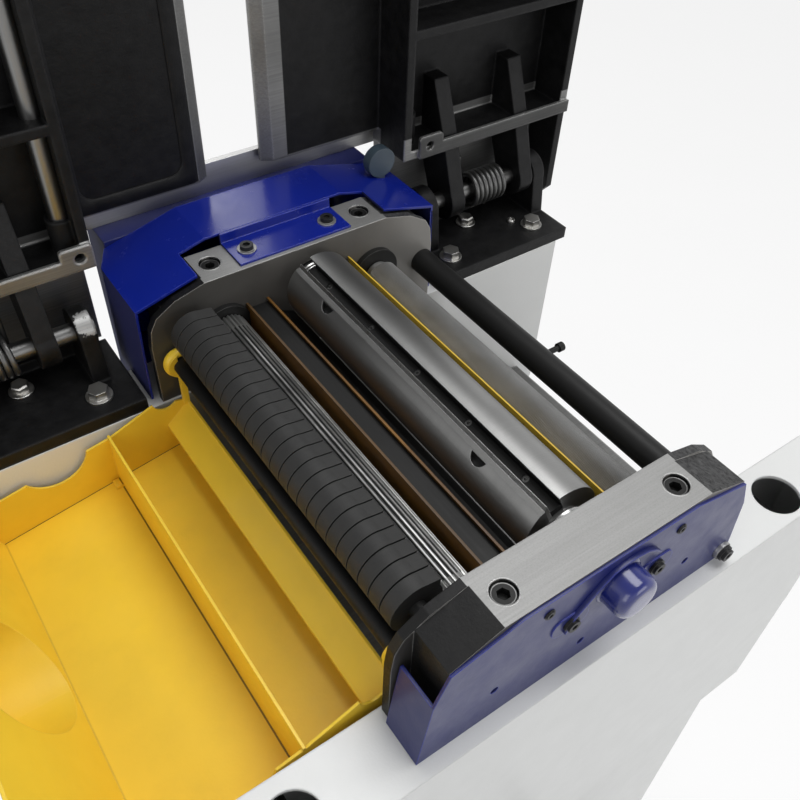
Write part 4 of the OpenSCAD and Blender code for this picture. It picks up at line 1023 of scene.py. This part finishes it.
# Turned rings on the shaft between the cutterblock and the brackets.
RING_PROFILE = [
    (0.0139, 0.0),
    (0.0160, 0.0),
    (0.0165, 0.0006),
    (0.0165, 0.0024),
    (0.0160, 0.0030),
    (0.0160, 0.0038),
    (0.0165, 0.0044),
    (0.0165, 0.0056),
    (0.0160, 0.0060),
    (0.0139, 0.0060),
]
for tag, y in (("front", -0.1585), ("rear", 0.1525)):
    at = (CUTTER_X, y, CUTTER_Z)
    turned("shaft_ring_" + tag, RING_PROFILE, at, "y", "ring", "cutterblock", closed=True)

# Bolts and screws on the hinge bases.
WASHER_PROFILE = [
    (0.0, 0.0),
    (0.0098, 0.0),
    (0.0102, 0.0004),
    (0.0102, 0.0014),
    (0.0097, 0.0018),
    (0.0, 0.0018),
]
HEXAGONS = [(0.0078, 0.0018), (0.0078, 0.0072), (0.0066, 0.0086)]


def hex_bolt(name, x, y, z):
    """Plated hexagon bolt with its washer and a chamfered head."""
    turned(name + "_washer", WASHER_PROFILE, (x, y, z), "z", "zinc", "frame", 40)
    turn = 12
    verts, faces = [], []
    for r, h in HEXAGONS:
        for k in range(6):
            a = math.radians(60 * k + turn)
            verts.append((x + r * math.cos(a), y + r * math.sin(a), z + h))
    for i in range(2):
        for k in range(6):
            q = (k + 1) % 6
            faces.append((i * 6 + k, i * 6 + q, i * 6 + 6 + q, i * 6 + 6 + k))
    faces += [tuple(range(5, -1, -1)), tuple(range(12, 18))]
    solid(name + "_head", verts, faces, "zinc", "frame", smooth=20, bevel=0.0004)


SPRING_BOLT = (0.2315, 0.2245)
BASE_SCREW = (0.2735, 0.2005)
SCREW_PROFILE = [
    (0.0, 0.0),
    (0.0042, 0.0),
    (0.0044, 0.0022),
    (0.0036, 0.0034),
    (0.0018, 0.0034),
    (0.0016, 0.0018),
    (0.0, 0.0018),
]
for tag, sx in (("right", 1), ("left", -1)):
    hex_bolt("spring_bolt_" + tag, sx * SPRING_BOLT[0], SPRING_BOLT[1], BASE_TOP_Z)
    foot = (sx * BASE_SCREW[0], BASE_SCREW[1], BASE_TOP_Z)
    turned("base_screw_" + tag, SCREW_PROFILE, foot, "z", "zinc", "frame", 32)

# Floor and light.
FLOOR = 9
floor_mesh = bpy.data.meshes.new("floor")
floor_corners = [(-FLOOR, -FLOOR, 0), (FLOOR, -FLOOR, 0), (FLOOR, FLOOR, 0), (-FLOOR, FLOOR, 0)]
floor_mesh.from_pydata(floor_corners, [], [(0, 1, 2, 3)])
floor = bpy.data.objects.new("floor", floor_mesh)
scene.collection.objects.link(floor)
ft = Tree("floor_paint")
patch = ft.span(ft.noise(3.0, 4.0, 0.6), 0.3, 0.7)
ft.set("Base Color", ft.mix(patch, (0.86, 0.86, 0.86, 1), (0.90, 0.90, 0.90, 1)))
ft.set("Roughness", 0.7)
glow = ft.new("ShaderNodeEmission")
glow.inputs["Strength"].default_value = 1.0
seen = ft.new("ShaderNodeLightPath")
mirrored = ft.math("MAXIMUM", seen.outputs["Is Glossy Ray"], seen.outputs["Is Transmission Ray"])
shown = ft.math("MAXIMUM", seen.outputs["Is Camera Ray"], mirrored)
veil = ft.mix_shader(ft.times(shown, 0.80), ft.bsdf.outputs[0], glow.outputs[0])
ft.put(ft.out.inputs[0], veil)
floor_mesh.materials.append(ft.m)

# White for the camera. In reflections it is white at the horizon and dim overhead.
world = bpy.data.worlds.new("studio")
scene.world = world
world.use_nodes = True
sky = Nodes(world.node_tree)


def background(strength):
    """White light of this strength."""
    n = sky.new("ShaderNodeBackground")
    n.inputs["Color"].default_value = (1, 1, 1, 1)
    n.inputs["Strength"].default_value = strength
    return n.outputs[0]


ray = sky.new("ShaderNodeLightPath")
mirrored = sky.math("MAXIMUM", ray.outputs["Is Glossy Ray"], ray.outputs["Is Transmission Ray"])
height = sky.xyz(sky.new("ShaderNodeTexCoord").outputs["Generated"])[2]
shown = sky.times(mirrored, sky.span(height, 0.35, 0.75, 1.0, 0.0))
white = sky.math("MAXIMUM", ray.outputs["Is Camera Ray"], shown)
light = sky.mix_shader(white, background(0.40), background(1.0))
sky.put(sky.new("ShaderNodeOutputWorld").inputs[0], light)


def lamp(name, at, to, size, power):
    """Soft rectangular lamp at one place, turned to another."""
    d = bpy.data.lights.new(name, "AREA")
    d.shape = "RECTANGLE"
    d.size, d.size_y = size
    d.energy = power
    o = bpy.data.objects.new(name, d)
    scene.collection.objects.link(o)
    o.location = at
    o.rotation_euler = (Vector(to) - Vector(at)).to_track_quat("-Z", "Y").to_euler()


lamp("top_box", (0.5, 0.1, 2.7), (0.0, 0.0, 0.8), (1.6, 1.2), 29)
lamp("left_box", (-2.2, -1.0, 1.9), (0.0, 0.0, 0.8), (1.2, 1.6), 11)
lamp("front_box", (0.9, -2.4, 1.6), (0.0, 0.0, 0.7), (1.6, 1.4), 15)
lamp("back_box", (0.0, 2.2, 2.2), (0.0, 0.0, 0.8), (1.8, 1.0), 14)

scene.view_settings.view_transform = "Standard"
